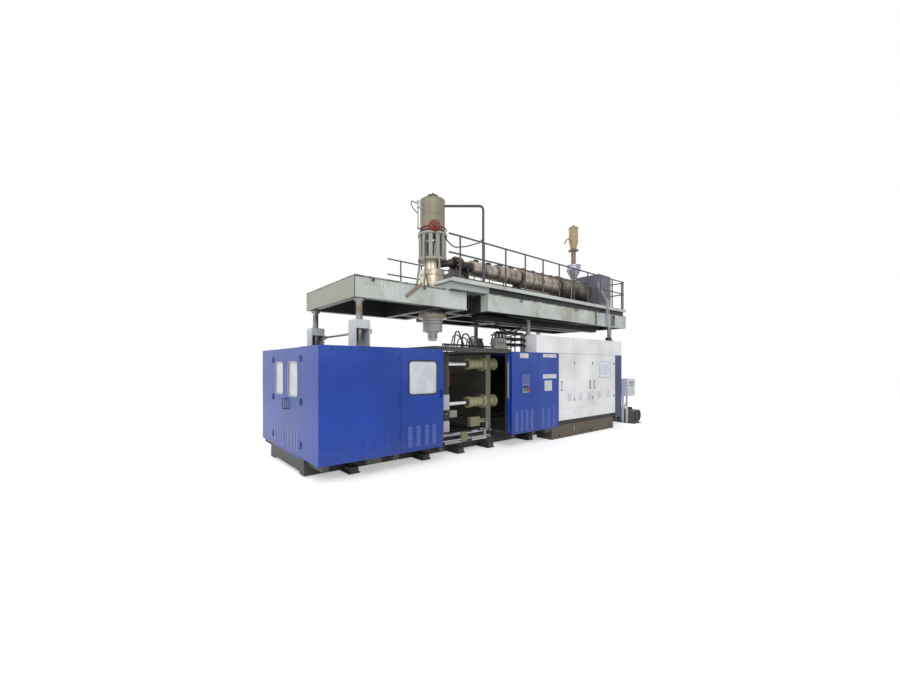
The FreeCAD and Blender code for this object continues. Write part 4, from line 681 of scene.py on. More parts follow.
def cut_from(body, tool):
    modified(body, "BOOLEAN", operation="DIFFERENCE", solver="EXACT", object=tool)
    bpy.data.objects.remove(tool)
    return body


def block(low, high, bevel=0.0):
    """Bevelled block between two corners."""
    deselect()
    low, high = place(low), place(high)
    bpy.ops.mesh.primitive_cube_add(size=1.0, location=(low + high) / 2.0)
    obj = bpy.context.object
    obj.scale = high - low
    set_in_mesh()
    if bevel:
        add_bevel(obj, bevel)
    return obj


def bar(radius, start, end, sides=16):
    """Straight round bar between two points."""
    deselect()
    start, end = place(start), place(end)
    along = end - start
    bpy.ops.mesh.primitive_cylinder_add(vertices=sides, radius=radius, depth=along.length,
                                        location=(start + end) / 2.0)
    obj = bpy.context.object
    obj.rotation_mode = "QUATERNION"
    obj.rotation_quaternion = along.to_track_quat("Z", "Y")
    set_in_mesh()
    bpy.ops.object.shade_smooth_by_angle(angle=0.7)
    return obj


def ring(radius, thickness, centre, axis="Z", sides=40, section=8):
    """Round ring about an axis of the machine."""
    deselect()
    turn = {"Z": (0, 0, 0), "X": (0, math.pi / 2, 0), "Y": (math.pi / 2, 0, 0)}[axis]
    bpy.ops.mesh.primitive_torus_add(
        major_radius=radius, minor_radius=thickness, major_segments=sides, minor_segments=section,
        location=place(centre), rotation=turn)
    set_in_mesh()
    bpy.ops.object.shade_smooth_by_angle(angle=1.2)
    return bpy.context.object


def ball(radius, centre):
    deselect()
    bpy.ops.mesh.primitive_uv_sphere_add(segments=14, ring_count=8, radius=radius,
                                         location=place(centre))
    bpy.ops.object.shade_smooth()
    return bpy.context.object


def collar(inner, outer, start, end, sides=48):
    """Round collar with a bore, between two points on its axis."""
    start, end = place(start), place(end)
    overrun = (end - start).normalized() * 0.01
    body = bar(outer, start, end, sides)
    return cut_from(body, bar(inner, start - overrun, end + overrun, sides))


def panel(centre, width, height, corner, depth, end=False):
    """Flat panel with rounded corners, in the front's plane or in that of the left end."""
    deselect()
    bpy.ops.mesh.primitive_plane_add(size=1.0, location=(0, 0, 0))
    obj = bpy.context.object
    obj.scale = (width, height, 1)
    set_in_mesh()
    bpy.ops.object.mode_set(mode="EDIT")
    bpy.ops.mesh.select_all(action="SELECT")
    bpy.ops.mesh.bevel(offset=corner, segments=6, affect="VERTICES")
    bpy.ops.object.mode_set(mode="OBJECT")
    modified(obj, "SOLIDIFY", thickness=depth, offset=0.0)
    obj.rotation_euler = (math.pi / 2, 0, -math.pi / 2 if end else 0)
    obj.location = place(centre)
    set_in_mesh()
    return obj


def window_frame(centre, width, height, corner, band, depth, end=False):
    """Flat frame with rounded corners around an opening."""
    outer = panel(centre, width, height, corner, depth, end)
    inner = panel(centre, width - 2 * band, height - 2 * band, max(corner - band, 0.004),
                  depth * 3, end)
    return add_bevel(cut_from(outer, inner), min(band, depth) * 0.2, 2, 0.7)


def new_curve(kind, points):
    """A curve object of one open spline through or along the points."""
    deselect()
    bpy.ops.curve.primitive_bezier_curve_add()
    curve = bpy.context.object
    curve.data.splines.clear()
    spline = curve.data.splines.new(kind)
    spline.points.add(len(points) - 1)
    for point, spot in zip(spline.points, points):
        point.co = (*spot, 1.0)
    curve.data.use_fill_caps = True
    return curve, spline


def pipe(radius, points, bend, sides=10):
    """Round pipe along straight runs with rounded corners."""
    points = [place(p) for p in points]
    path = [points[0]]
    for before, corner, after in zip(points, points[1:], points[2:]):
        u = (corner - before).normalized()
        v = (after - corner).normalized()
        reach = min(bend, 0.45 * (corner - before).length, 0.45 * (after - corner).length)
        for step in range(7):
            t = step / 6.0
            path.append((corner - u * reach * (1 - t)).lerp(corner + v * reach * t, t))
    path.append(points[-1])
    curve, _ = new_curve("POLY", path)
    curve.data.bevel_depth = radius
    curve.data.bevel_resolution = max(1, sides // 4 - 1)
    bpy.ops.object.convert(target="MESH")
    bpy.ops.object.shade_smooth_by_angle(angle=1.0)
    return bpy.context.object


def joined(*parts):
    """One object of several, which may come in lists."""
    objects = [obj for part in parts for obj in (part if isinstance(part, list) else [part])]
    select(objects[0])
    for obj in objects:
        obj.select_set(True)
    if len(objects) > 1:
        bpy.ops.object.join()
    return bpy.context.object


def bolt(centre, way, radius, height):
    """Hexagon bolt head with a washer under it, standing on a face."""
    centre, way = place(centre), Vector(way).normalized()
    washer = bar(radius * 1.25, centre, centre + way * height * 0.25, 20)
    head = bar(radius, centre + way * height * 0.25, centre + way * height, 6)
    return joined(washer, add_bevel(head, radius * 0.12, 1, 0.5))


def bolt_circle(centre, axis, circle, count, radius, height, start=0.0):
    """Ring of hexagon bolts on a face that looks along an axis."""
    centre = place(centre)
    side = RIGHT if axis.endswith("Z") else UP
    first = bolt(centre + Vector(side) * circle, WAYS[axis], radius, height)
    bolts = []
    for k in range(count):
        obj = first.copy()
        obj.data = first.data.copy()
        turn = Matrix.Rotation(start + 2 * math.pi * k / count, 4, axis[-1])
        obj.data.transform(Matrix.Translation(centre) @ turn @ Matrix.Translation(-centre))
        bpy.context.collection.objects.link(obj)
        bolts.append(obj)
    bpy.data.objects.remove(first)
    return joined(bolts)


def piece(name, finish, body, *parts):
    """A finished piece: its parts are joined, and it gets its name, material and body."""
    obj = joined(*parts)
    obj.name = name
    select(obj)
    set_in_mesh()
    obj.data.materials.clear()
    obj.data.materials.append(FINISH[finish])
    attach(obj, body)
    return obj


# ------------------------------------------------------------------ lifting screws and platform

LIFT_PLACES = ((900, 530), (900, 2530), (5450, 600), (5450, 2460))
REAR_PLACES = ((8690, 250), (8690, 2810))
UNDER_FRAME = 2899
FRAME_LOW, FRAME_HIGH = 2905, 3265
HOSE_RADIUS = 0.012


def thread(name, x, y, radius, low, high):
    """Turns of a screw thread between two heights."""
    pitch = bpy.context.scene.machine_details.thread_pitch
    turn = ring(radius, pitch * 0.32, (x, y, low * 1000), sides=32, section=6)
    piece(name, "thread", "platform", row_of(turn, int((high - low) / pitch), (0, 0, pitch)))


class MACHINE_OT_screw_threads(bpy.types.Operator):
    """Threads, flange bolts and wipers of the lifting screws"""
    bl_idname = "machine.screw_threads"
    bl_label = "Lifting screw threads"

    def execute(self, context):
        for k, (x, y) in enumerate(LIFT_PLACES):
            thread(f"screw_thread_{k}", x, y, 0.0505, 2.575, 2.845)
            thread(f"screw_thread_low_{k}", x, y, 0.0505, 2.20, 2.33)
            piece(f"screw_wiper_{k}", "rubber", "base",
                  collar(0.0535, 0.074, (x, y, 2530), (x, y, 2548)))
            piece(f"screw_flange_bolts_{k}", "steel", "platform",
                  bolt_circle((x, y, 2860), "-Z", 0.069, 6, 0.009, 0.010))
        for k, (x, y) in enumerate(REAR_PLACES):
            thread(f"rear_screw_thread_{k}", x, y, 0.0335, 2.515, 2.86)
            piece(f"rear_screw_wiper_{k}", "rubber", "base",
                  collar(0.0365, 0.052, (x, y, 2487), (x, y, 2500)))
        return {"FINISHED"}


class MACHINE_OT_drop_hoses(bpy.types.Operator):
    """Three hoses that hang under the platform between their glands"""
    bl_idname = "machine.drop_hoses"
    bl_label = "Drop hoses"

    def execute(self, context):
        # across the machine, gland height, heights of the bend and of the belly, length
        hoses = ((-0.730, 2.7745, 2.685, 2.585, 0.996), (-0.670, 2.7757, 2.650, 2.550, 1.053),
                 (-0.610, 2.7731, 2.710, 2.610, 0.959))
        for k, (y, gland, bend, belly, length) in enumerate(hoses):
            route = ((-0.470, y, gland), (-0.425, y, bend), (-0.195, y, belly),
                     (0.125, y, belly), (0.355, y, bend), (0.400, y, gland))
            curve, spline = new_curve("NURBS", route)
            spline.order_u = 3
            spline.use_endpoint_u = True
            spline.resolution_u = 10
            curve.location = (0.0, 0.0, 0.0)
            curve.data.dimensions = "3D"
            curve.data.bevel_depth = HOSE_RADIUS
            curve.data.bevel_resolution = 4
            hose = piece(f"drop_hose_{k}", "rubber", "platform", curve)
            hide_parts("drop_hoses")
        return {"FINISHED"}


class MACHINE_OT_frame_details(bpy.types.Operator):
    """Weld beads, brackets, boards and cables of the two upper frames"""
    bl_idname = "machine.frame_details"
    bl_label = "Upper frame details"

    def execute(self, context):
        for name, finish, x, y in (
                ("frame_weld_0", "platform", 3670, 210), ("frame_weld_1", "platform", 9650, 210),
                ("frame_corner_weld", "iron", 751, 401)):
            piece(name, finish, "platform",
                  pipe(0.006, [(x, y, FRAME_LOW), (x, y, FRAME_HIGH)], 0.01, 8))
        piece("frame_joint_plate", "clamp_dark", "platform",
              block((7880, 201, FRAME_LOW), (7955, 211, FRAME_HIGH), 0.002))
        for k, x in enumerate((1080, 2150, 4700, 6900)):
            y = 397 if x < 3000 else 207
            piece(f"lifting_eye_{k}", "iron", "platform",
                  bar(0.014, (x, y, 3215), (x, y - 20, 3215), 14),
                  ring(0.026, 0.008, (x, y - 40, 3215), "X", 28, 8))
        self.lift_bracket()
        self.under_frame()
        for k, y in enumerate((530, 2530)):
            bolts = [bolt((x, y - 141, z), FRONT, 0.011, 0.008)
                     for x in (800, 1000) for z in (2410, 2490)]
            piece(f"column_head_{k}", "column", "base",
                  block((765, y - 141, 2380), (1035, y - 133, 2530), 0.003), bolts)
        piece("rear_screw_nut", "iron", "base",
              collar(0.058, 0.120, (8690, 250, 2463), (8690, 250, 2500), 40),
              collar(0.058, 0.088, (8690, 250, 2500), (8690, 250, 2580), 40))
        for name, y in (("toe_board_front", 203), ("toe_board_rear", 2855)):
            piece(name, "platform", "platform",
                  block((2702, y - 3, 3395), (9648, y + 3, 3478), 0.0015))
        self.deck_plates()
        return {"FINISHED"}

    @staticmethod
    def lift_bracket():
        """Welded bracket on the frame above the rear lifting point, and the brace at the front."""
        sides = [block((x, 150, 2925), (x + 18, 211, 3225), 0.003) for x in (8755, 8857)]
        piece("lift_bracket", "grey", "platform",
              block((8735, 194, 3215), (8895, 211, 3268), 0.003), sides,
              block((8745, 150, 2925), (8885, 211, 2945), 0.003))
        piece("lift_bracket_boss", "iron", "platform",
              collar(0.026, 0.046, (8816, 206, 3170), (8816, 140, 3170), 32),
              bar(0.024, (8816, 206, 3170), (8816, 150, 3170), 24),
              bolt((8816, 150, 3170), FRONT, 0.018, 0.012))
        brace = block((1710, 388, 3120), (2160, 399, 3180), 0.003)
        select(brace)
        bpy.ops.transform.rotate(value=math.radians(38), orient_axis="Y",
                                 center_override=mm(1935, 394, 3150))
        piece("frame_brace", "diagonal_brown", "platform", brace)

    @staticmethod
    def under_frame():
        """Pipes on hangers under the rear frame, and the cables that drop from the drive."""
        lines = ((300, 4420, 7650), (352, 4520, 7300), (405, 4480, 6900))
        parts = [pipe(0.013 + 0.003 * (k % 2), [(start, y, UNDER_FRAME), (start, y, 2862),
                                                (end, y, 2862), (end, y, UNDER_FRAME)], 0.04)
                 for k, (y, start, end) in enumerate(lines)]
        for x in range(4700, 6900, 700):
            parts.append(block((x, 280, 2880), (x + 30, 425, 2890), 0.001))
            parts += [bar(0.005, (x + 15, y, 2870), (x + 15, y, UNDER_FRAME), 8)
                      for y, _, _ in lines]
        piece("under_pipes", "black", "platform", parts)
        cables = []
        for k in range(4):
            way = 9 * (k % 2)
            cables.append(pipe(0.010, [
                (8803, 650 + 45 * k, 4300 - 70 * k), (8700 - 20 * k, 590, 4290 - 60 * k),
                (8570 + 25 * k, 330 + way, 3830 - 30 * k), (8500 + 40 * k, 186 - way, 3630),
                (8440 + 45 * k, 178 - way, 3380), (8430 + 38 * k, 182, 2925)], 0.14))
        piece("drive_cables", "lilac_box", "platform", cables)

    @staticmethod
    def deck_plates():
        """Chequer plates laid on both walkways, with raised bars."""
        for side, (y0, y1) in enumerate(((262, 846), (2214, 2798))):
            for k in range(0 if side else 1, 7):
                x0 = 2712 + 991 * k
                plate = block((x0, y0, 3470.5), (x0 + 978, y1, 3474), 0.001)
                bars = block((x0 + 30, y0 + 30, 3474), (x0 + 62, y0 + 38, 3476), 0.0006)
                row_of(bars, 15, (0.062, 0, 0))
                row_of(bars, 11, (0.0, 0.050, 0))
                piece(f"deck_plate_{side}_{k}", "zinc", "platform", plate, bars)


class MACHINE_OT_rail_details(bpy.types.Operator):
    """Foot bolts and end caps of the guard rails"""
    bl_idname = "machine.rail_details"
    bl_label = "Guard rail details"

    def execute(self, context):
        piece("rail_end_caps", "rail", "platform",
              [ball(0.0175, (x, y, z))
               for x0, y, heights in ((2640, 235, (3950, 4310)), (2810, 2825, (4020, 4400)))
               for z in heights for x in (x0, 9570)])
        feet = [2640 + 6930 * (0.04 + 0.955 * k / 10.0) for k in range(11)]
        piece("rail_foot_bolts", "steel", "platform",
              [bolt((x + dx, 235, 3478), UP, 0.006, 0.007) for x in feet for dx in (-24, 24)])
        return {"FINISHED"}


# ------------------------------------------------------------------ covers, doors and cabinet

class MACHINE_OT_window_gaskets(bpy.types.Operator):
    """Rubber gaskets and clamp frames round the door windows"""
    bl_idname = "machine.window_gaskets"
    bl_label = "Window gaskets"

    def execute(self, context):
        band = context.scene.machine_details.gasket_width
        for name, finish, body, centre, width, height, corner, depth in (
                ("front_door_gasket", "rubber", "front_door", (1855.5, -3, 1547.5),
                 0.603, 0.585, 0.075, 0.010),
                ("end_door_front_gasket", "frame_grey", "end_door_front", (-3, 1148.25, 1532.5),
                 0.475, 0.575, 0.075, 0.010),
                ("end_door_rear_gasket", "frame_grey", "end_door_rear", (-3, 1911.75, 1532.5),
                 0.475, 0.575, 0.075, 0.010),
                ("gate_gasket", "rubber", "safety_gate", (5010, 43, 1420),
                 1.440, 0.840, 0.05, 0.006)):
            piece(name, finish, body, window_frame(centre, width + band, height + band, corner,
                                                   band, depth, body.startswith("end")))
        return {"FINISHED"}


class MACHINE_OT_cover_details(bpy.types.Operator):
    """Bare plates, lock, gate handle sleeve, seams and bolts of the covers"""
    bl_idname = "machine.cover_details"
    bl_label = "Cover details"

    def execute(self, context):
        for k, plate in enumerate(((4575, 1977.5, 0.290, 0.105), (5500, 1990, 0.520, 0.080),
                                   (5500, 1510, 0.520, 0.100), (5443, 1293, 0.286, 0.242))):
            self.bare_plate(f"bare_plate_{k}", *plate)
        piece("gate_handle_sleeve", "pink", "safety_gate",
              bar(0.020, (4080, 25, 1075), (4080, 25, 1825), 18))
        piece("front_door_lock", "iron", "front_door",
              bar(0.016, (2260, -14, 1255), (2260, -22, 1255), 20),
              block((2258, -24, 1246), (2262, -22, 1264)))
        piece("rear_skirt", "black", "base", block((2306, 3004, 22), (8940, 3012, 284), 0.002))
        piece("cover_seams", "rubber", "base",
              [bar(0.0022, (x, -0.5, 290), (x, -0.5, 2050), 6) for x in (4171.5, 5061.5)])
        piece("cover_corner_edge", "cover", "base",
              pipe(0.007, [(3, 3, 285), (3, 3, 2057)], 0.01, 12))
        piece("cover_bolts", "black", "base",
              [bolt((x, 0, z), FRONT, 0.010, 0.007)
               for x in (200, 700, 1250, 4230, 5010, 5110, 5820) for z in (330, 2010)])
        return {"FINISHED"}

    @staticmethod
    def bare_plate(name, x, z, width, height):
        """Plain plate with a rivet in each corner."""
        plate = add_bevel(panel((x, -4.5, z), width, height, 0.012, 0.004), 0.001, 1, 0.6)
        rivets = []
        for dx in (-width / 2 + 0.018, width / 2 - 0.018):
            for dz in (-height / 2 + 0.016, height / 2 - 0.016):
                spot = mm(x, -6.5, z) + Vector((dx, 0, dz))
                rivets.append(bar(0.005, spot, spot - Vector((0, 0.002, 0)), 12))
        piece(name, "plate", "base", plate, rivets)


class MACHINE_OT_operator_station(bpy.types.Operator):
    """Button collars, lamps, selectors and keys of the operator panel"""
    bl_idname = "machine.operator_station"
    bl_label = "Operator station"

    def execute(self, context):
        for name, x, outer in (("stop_collar", 4680, 0.042), ("start_collar", 4560, 0.034)):
            piece(name, "plate", "base",
                  collar(outer - 0.0065, outer, (x, -12, 1220), (x, -17, 1220), 32))
        piece("panel_lamps", "lamp", "base",
              [add_bevel(bar(0.013, (x, -12, 1345), (x, -24, 1345), 20), 0.003, 2, 0.7)
               for x in (4540, 4590, 4640, 4690)])
        piece("panel_selectors", "iron", "base",
              [joined(bar(0.021, (x, -12, 1290), (x, -20, 1290), 24),
                      block((x - 5, -38, 1272), (x + 5, -20, 1308), 0.002))
               for x in (4565, 4665)])
        piece("panel_key", "plate", "base",
              row_of(block((4520, -15, 1170), (4542, -12, 1186), 0.0015), 7, (0.030, 0, 0)))
        return {"FINISHED"}


class MACHINE_OT_cabinet_details(bpy.types.Operator):
    """Screen keys, locks, vents, rivets, hinge caps and seams of the control cabinet"""
    bl_idname = "machine.cabinet_details"
    bl_label = "Cabinet details"

    def execute(self, context):
        left, middle, right = ("cabinet_door_left", "cabinet_door_middle", "cabinet_door_right")
        piece("screen_frame", "frame_grey", right,
              window_frame((8015, -15, 1655), 0.575, 0.436, 0.018, 0.010, 0.008))
        piece("screen_face", "keypad", right, panel((8015, -9, 1657), 0.474, 0.330, 0.010, 0.004))
        keys = block((7802, -12.5, 1515), (7872, -10.5, 1572), 0.003)
        row_of(keys, 5, (0.0885, 0, 0))
        piece("screen_key", "key", right, row_of(keys, 4, (0.0, 0, 0.0765)))
        for door, x in ((left, 5990), (middle, 7270), (right, 7480)):
            piece(f"{door}_lock_plate", "iron", door,
                  panel((x, -2, 1260), 0.052, 0.230, 0.008, 0.004))
        for door, x in ((left, 6230), (middle, 6720), (middle, 7140), (right, 7640), (right, 8120)):
            slot = block((x, -2.5, 880), (x + 170, -0.5, 886), 0.0005)
            piece(f"door_vents_{x}", "frame_grey", door, row_of(slot, 9, (0, 0, 0.022)))
        for door, x, count in ((left, 6040, 18), (middle, 6600, 30), (right, 7450, 41)):
            rivet = block((x, -2.5, 700), (x + 10, -0.5, 708), 0.001)
            piece(f"door_rivets_{x}", "frame_grey", door, row_of(rivet, count, (0.024, 0, 0)))
        piece("cabinet_hinge_caps", "iron", "base",
              [bar(0.010, (x, -6, z), (x, -6, z + 62), 14)
               for x in (6535, 7382, 8512) for z in (880, 1790)])
        piece("duct_joint", "rubber", "base", block((5017, 1, 2054), (8968, 5, 2066), 0.001))
        piece("duct_seams", "frame_grey", "base",
              [block((x - 2, -1.5, 2064), (x + 2, 0, 2456)) for x in (6450, 7750)])
        return {"FINISHED"}


# ------------------------------------------------------------------ extruder and accumulator head

HEAD_X, HEAD_Y = 3210, 1530
BARREL_Y, BARREL_Z = 1130, 4040
BED_START, BED_END = 3720, 7290
CHANNEL = 3641
# start, length and radius of each heater band
BANDS = ((3990, 390, 160), (4405, 390, 160), (4820, 380, 195), (5225, 380, 195),
         (5690, 380, 235), (6095, 380, 235), (6500, 380, 235), (6905, 380, 235))


def on_barrel(x, dy=0, dz=0):
    return mm(x, BARREL_Y + dy, BARREL_Z + dz)


def on_head(z):
    return mm(HEAD_X, HEAD_Y, z)


def round_head(angle):
    """Level direction at an angle about the head's axis."""
    return Vector((math.cos(angle), math.sin(angle), 0))


class MACHINE_OT_heater_details(bpy.types.Operator):
    """Clamp straps, terminal boxes and leads of the heater bands; rings and pipes of the feed"""
    bl_idname = "machine.heater_details"
    bl_label = "Heater band details"

    def execute(self, context):
        for k, (start, length, radius) in enumerate(BANDS):
            self.straps(k, start, length, radius)
            self.terminal(k, start + length / 2.0, BARREL_Z + radius)
        piece("feed_rings", "iron", "platform",
              [ring(0.286, 0.007, on_barrel(x), "X", 56, 8)
               for x in (7304, 7420, 8060, 8440, 8790)])
        piece("feed_water_pipes", "steel", "platform",
              [pipe(0.012, [on_barrel(x, -270, -60), on_barrel(x, -340, -60),
                            on_barrel(x, -340, -400), on_barrel(x, -190, -440)], 0.05)
               for x in (7620, 7750)])
        piece("barrel_flange_bolts", "steel", "platform",
              [bolt_circle(on_barrel(x), axis, 0.146, 10, 0.016, 0.018)
               for x, axis in ((3670, "X"), (3510, "-X"))])
        piece("lead_channel", "galvanised", "platform",
              [block((3900, BARREL_Y + y0, z0), (7280, BARREL_Y + y1, z1))
               for y0, z0, y1, z1 in ((190, CHANNEL, 290, CHANNEL + 3), (190, CHANNEL, 193, 3700),
                                      (287, CHANNEL, 290, 3700), (175, 3600, 290, CHANNEL))])
        return {"FINISHED"}

    @staticmethod
    def straps(k, start, length, radius):
        parts = []
        for x in (start + 40, start + length / 2.0, start + length - 40):
            parts += [
                collar(radius / 1000.0 - 0.002, radius / 1000.0 + 0.0035, on_barrel(x - 14),
                       on_barrel(x + 14)),
                block(on_barrel(x - 12, -radius - 22, -16), on_barrel(x + 12, -radius + 4, 16),
                      0.002),
                bar(0.005, on_barrel(x, -radius - 12, -40), on_barrel(x, -radius - 12, 40), 10),
            ]
        piece(f"band_straps_{k}", "steel", "platform", parts)

    @staticmethod
    def terminal(k, x, top):
        """Terminal box on a band, with its lead over the rear side into the channel."""
        near, far = BARREL_Y + 45, BARREL_Y + 262
        piece(f"band_terminal_{k}", "iron", "platform",
              block((x - 60, BARREL_Y - 45, top - 6), (x + 60, near, top + 48), 0.006),
              bar(0.014, (x, near, top + 22), (x, BARREL_Y + 75, top + 22)))
        piece(f"band_lead_{k}", "rubber", "platform",
              pipe(0.007, [(x, BARREL_Y + 70, top + 22), (x, BARREL_Y + 250, top + 20),
                           (x, far, BARREL_Z - 200), (x, far, 3655)], 0.05, 8))


class MACHINE_OT_head_details(bpy.types.Operator):
    """Bolts, heater straps, pipes and cables of the accumulator head"""
    bl_idname = "machine.head_details"
    bl_label = "Accumulator head details"

    def execute(self, context):
        piece("head_bolts", "iron", "platform",
              bolt_circle(on_head(3000), "Z", 0.300, 12, 0.016, 0.030),
              bolt_circle(on_head(4170), "Z", 0.318, 12, 0.010, 0.012, 0.13),
              bolt_circle(on_head(4780), "Z", 0.2895, 16, 0.005, 0.006))
        ways = [round_head(2 * math.pi * (k + 0.5) / 12) for k in range(12)]
        piece("head_ring_holes", "iron", "platform",
              [bar(0.017, on_head(2915) + way * 0.318, on_head(2915) + way * 0.3215, 18)
               for way in ways])
        piece("head_heater_straps", "steel", "platform",
              [collar(0.279, 0.284, on_head(z - 12), on_head(z + 12), 56)
               for z in (3340, 3540, 3780)])
        piece("cylinder_rings", "beige", "platform",
              [ring(0.282, thickness, on_head(z), sides=64)
               for z, thickness in ((5480, 0.006), (5140, 0.005), (4990, 0.004))])
        piece("cylinder_cap_bolts", "iron", "platform",
              bolt_circle(on_head(5555), "Z", 0.100, 8, 0.012, 0.016),
              ring(0.040, 0.010, on_head(5600) + Vector((0, 0, 0.045)), "X", 28, 10))
        piece("die_joints", "iron", "platform",
              [ring(radius, 0.0035, on_head(z), sides=56)
               for z, radius in ((2765, 0.2215), (2822, 0.233), (2503, 0.105), (2700, 0.2212))])
        piece("die_heater", "bands", "platform",
              collar(0.104, 0.112, on_head(2385), on_head(2475), 48),
              block((HEAD_X - 16, HEAD_Y - 126, 2395), (HEAD_X + 16, HEAD_Y - 108, 2465), 0.003))
        self.valve()
        self.barrel_bed()
        self.cables()
        return {"FINISHED"}

    @staticmethod
    def valve():
        """Bolted flange and pipe stubs on the red valve."""
        way = Vector((-0.48, -0.877, 0)).normalized()
        side = Vector(UP).cross(way)
        face = on_head(4830) + way * 0.387
        parts = [bar(0.046, face, face + way * 0.035, 28)]
        shoulder = on_head(4830) + way * 0.337
        for k in range(8):
            angle = 2 * math.pi * k / 8
            spoke = side * math.cos(angle) * 0.108 + Vector(UP) * math.sin(angle) * 0.108
            start = shoulder + spoke
            parts.append(bar(0.011, start - way * 0.006, start + way * 0.022, 6))
        piece("valve_bolts", "dark_red", "platform", parts)
        bearing = math.atan2(way.y, way.x)
        stations = ((0.335, 4830), (0.352, 4822), (0.350, 4806), (0.330, 4790))
        pipes = []
        for turn in (-1, 1):
            route = []
            for k, (reach, height) in enumerate(stations):
                outward = round_head(bearing + turn * (0.36 + 0.26 * k))
                route.append(on_head(height) + outward * reach)
            pipes.append(pipe(0.015, route, 0.05))
        piece("valve_pipes", "dark_red", "platform", ring(0.301, 0.013, on_head(4768), sides=56),
              pipes)

    @staticmethod
    def barrel_bed():
        """Welded bed beam on the deck below the heated barrel."""
        piece("barrel_bed", "olive_dark", "platform",
              [block((BED_START, y0, z0), (BED_END, y1, z1), 0.002)
               for y0, z0, y1, z1 in ((1122, 3479, 1138, 3752), (1040, 3748, 1220, 3760),
                                      (1040, 3479, 1220, 3491))],
              row_of(block((3760, 1050, 3485), (3772, 1210, 3752), 0.002), 8, (0.500, 0, 0)))

    @staticmethod
    def cables():
        for name, radius, bend, points in (
                ("head_cable_loop", 0.014, 0.09, [
                    (3330, 1285, 4710), (3420, 1240, 4560), (3560, 1190, 4440), (3800, 1040, 4470),
                    (4040, 850, 4560), (4085, 800, 4640)]),
                ("probe_cable_loop", 0.010, 0.06, [
                    (2800, 1530, 5130), (2700, 1526, 5180), (2615, 1520, 5280), (2630, 1520, 5365),
                    (2730, 1526, 5335), (2800, 1530, 5385)]),
                ("head_cable_run", 0.010, 0.09, [
                    (2935, 1420, 4700), (2900, 1400, 4500), (2900, 1380, 3900),
                    (2960, 1340, 3330)])):
            piece(name, "rubber", "platform", pipe(radius, points, bend))


# ------------------------------------------------------------------ mould opening, base, side units

LOCK_HEIGHTS = (1000, 1790)


class MACHINE_OT_platen_details(bpy.types.Operator):
    """Nuts, bolts, ports and seals of the platens, tie rods and locking cylinders"""
    bl_idname = "machine.platen_details"
    bl_label = "Platen details"

    def execute(self, context):
        locks, glands, nuts = [], [], []
        for y in (430, 2630):
            for z in LOCK_HEIGHTS:
                locks += [bolt_circle((3660, y, z), "-X", 0.122, 8, 0.013, 0.016),
                          bolt_circle((4050, y, z), "X", 0.100, 8, 0.011, 0.014),
                          ring(0.1005, 0.006, (3400, y, z), "X", 44, 8),
                          ring(0.1005, 0.005, (3520, y, z), "X", 44, 8)]
                glands.append(collar(0.0462, 0.066, (3252, y, z), (3266, y, z), 36))
                nuts.append(collar(0.046, 0.070, (2701, y, z), (2726, y, z), 6))
        piece("lock_bolts", "olive_dark", "right_platen", locks)
        piece("lock_glands", "rubber", "right_platen", glands)
        piece("tie_collars", "steel", "left_platen", nuts)
        piece("ram_guide_strip", "dark_red", "left_platen",
              block((2701, 336, 1355), (2732, 362, 1680), 0.004))
        piece("platen_carrier", "olive_dark", "right_platen",
              block((3290, 338, 500), (3560, 440, 690), 0.008),
              block((3350, 334, 560), (3500, 340, 660), 0.004),
              block((3540, 350, 560), (3724, 420, 640), 0.004))
        for body, low, high in (("left_platen", 2700, 2700.6), ("right_platen", 3719.4, 3720)):
            piece(f"{body}_slots", "iron", body,
                  [block((low, 620, z - 11), (high, 2440, z + 11)) for z in range(620, 1861, 310)])
        pipes = []
        for z in LOCK_HEIGHTS:
            for x in (3450, 3610):
                pipes.append(pipe(0.011, [
                    (x, 430, z + 92), (x, 430, z + 150), (x, 400, z + 165), (3700, 375, z + 165),
                    (3716, 360, z + 150)], 0.03))
                pipes.append(bar(0.020, (x, 430, z + 95), (x, 430, z + 122), 6))
        piece("lock_pipes", "iron", "right_platen", pipes)
        return {"FINISHED"}


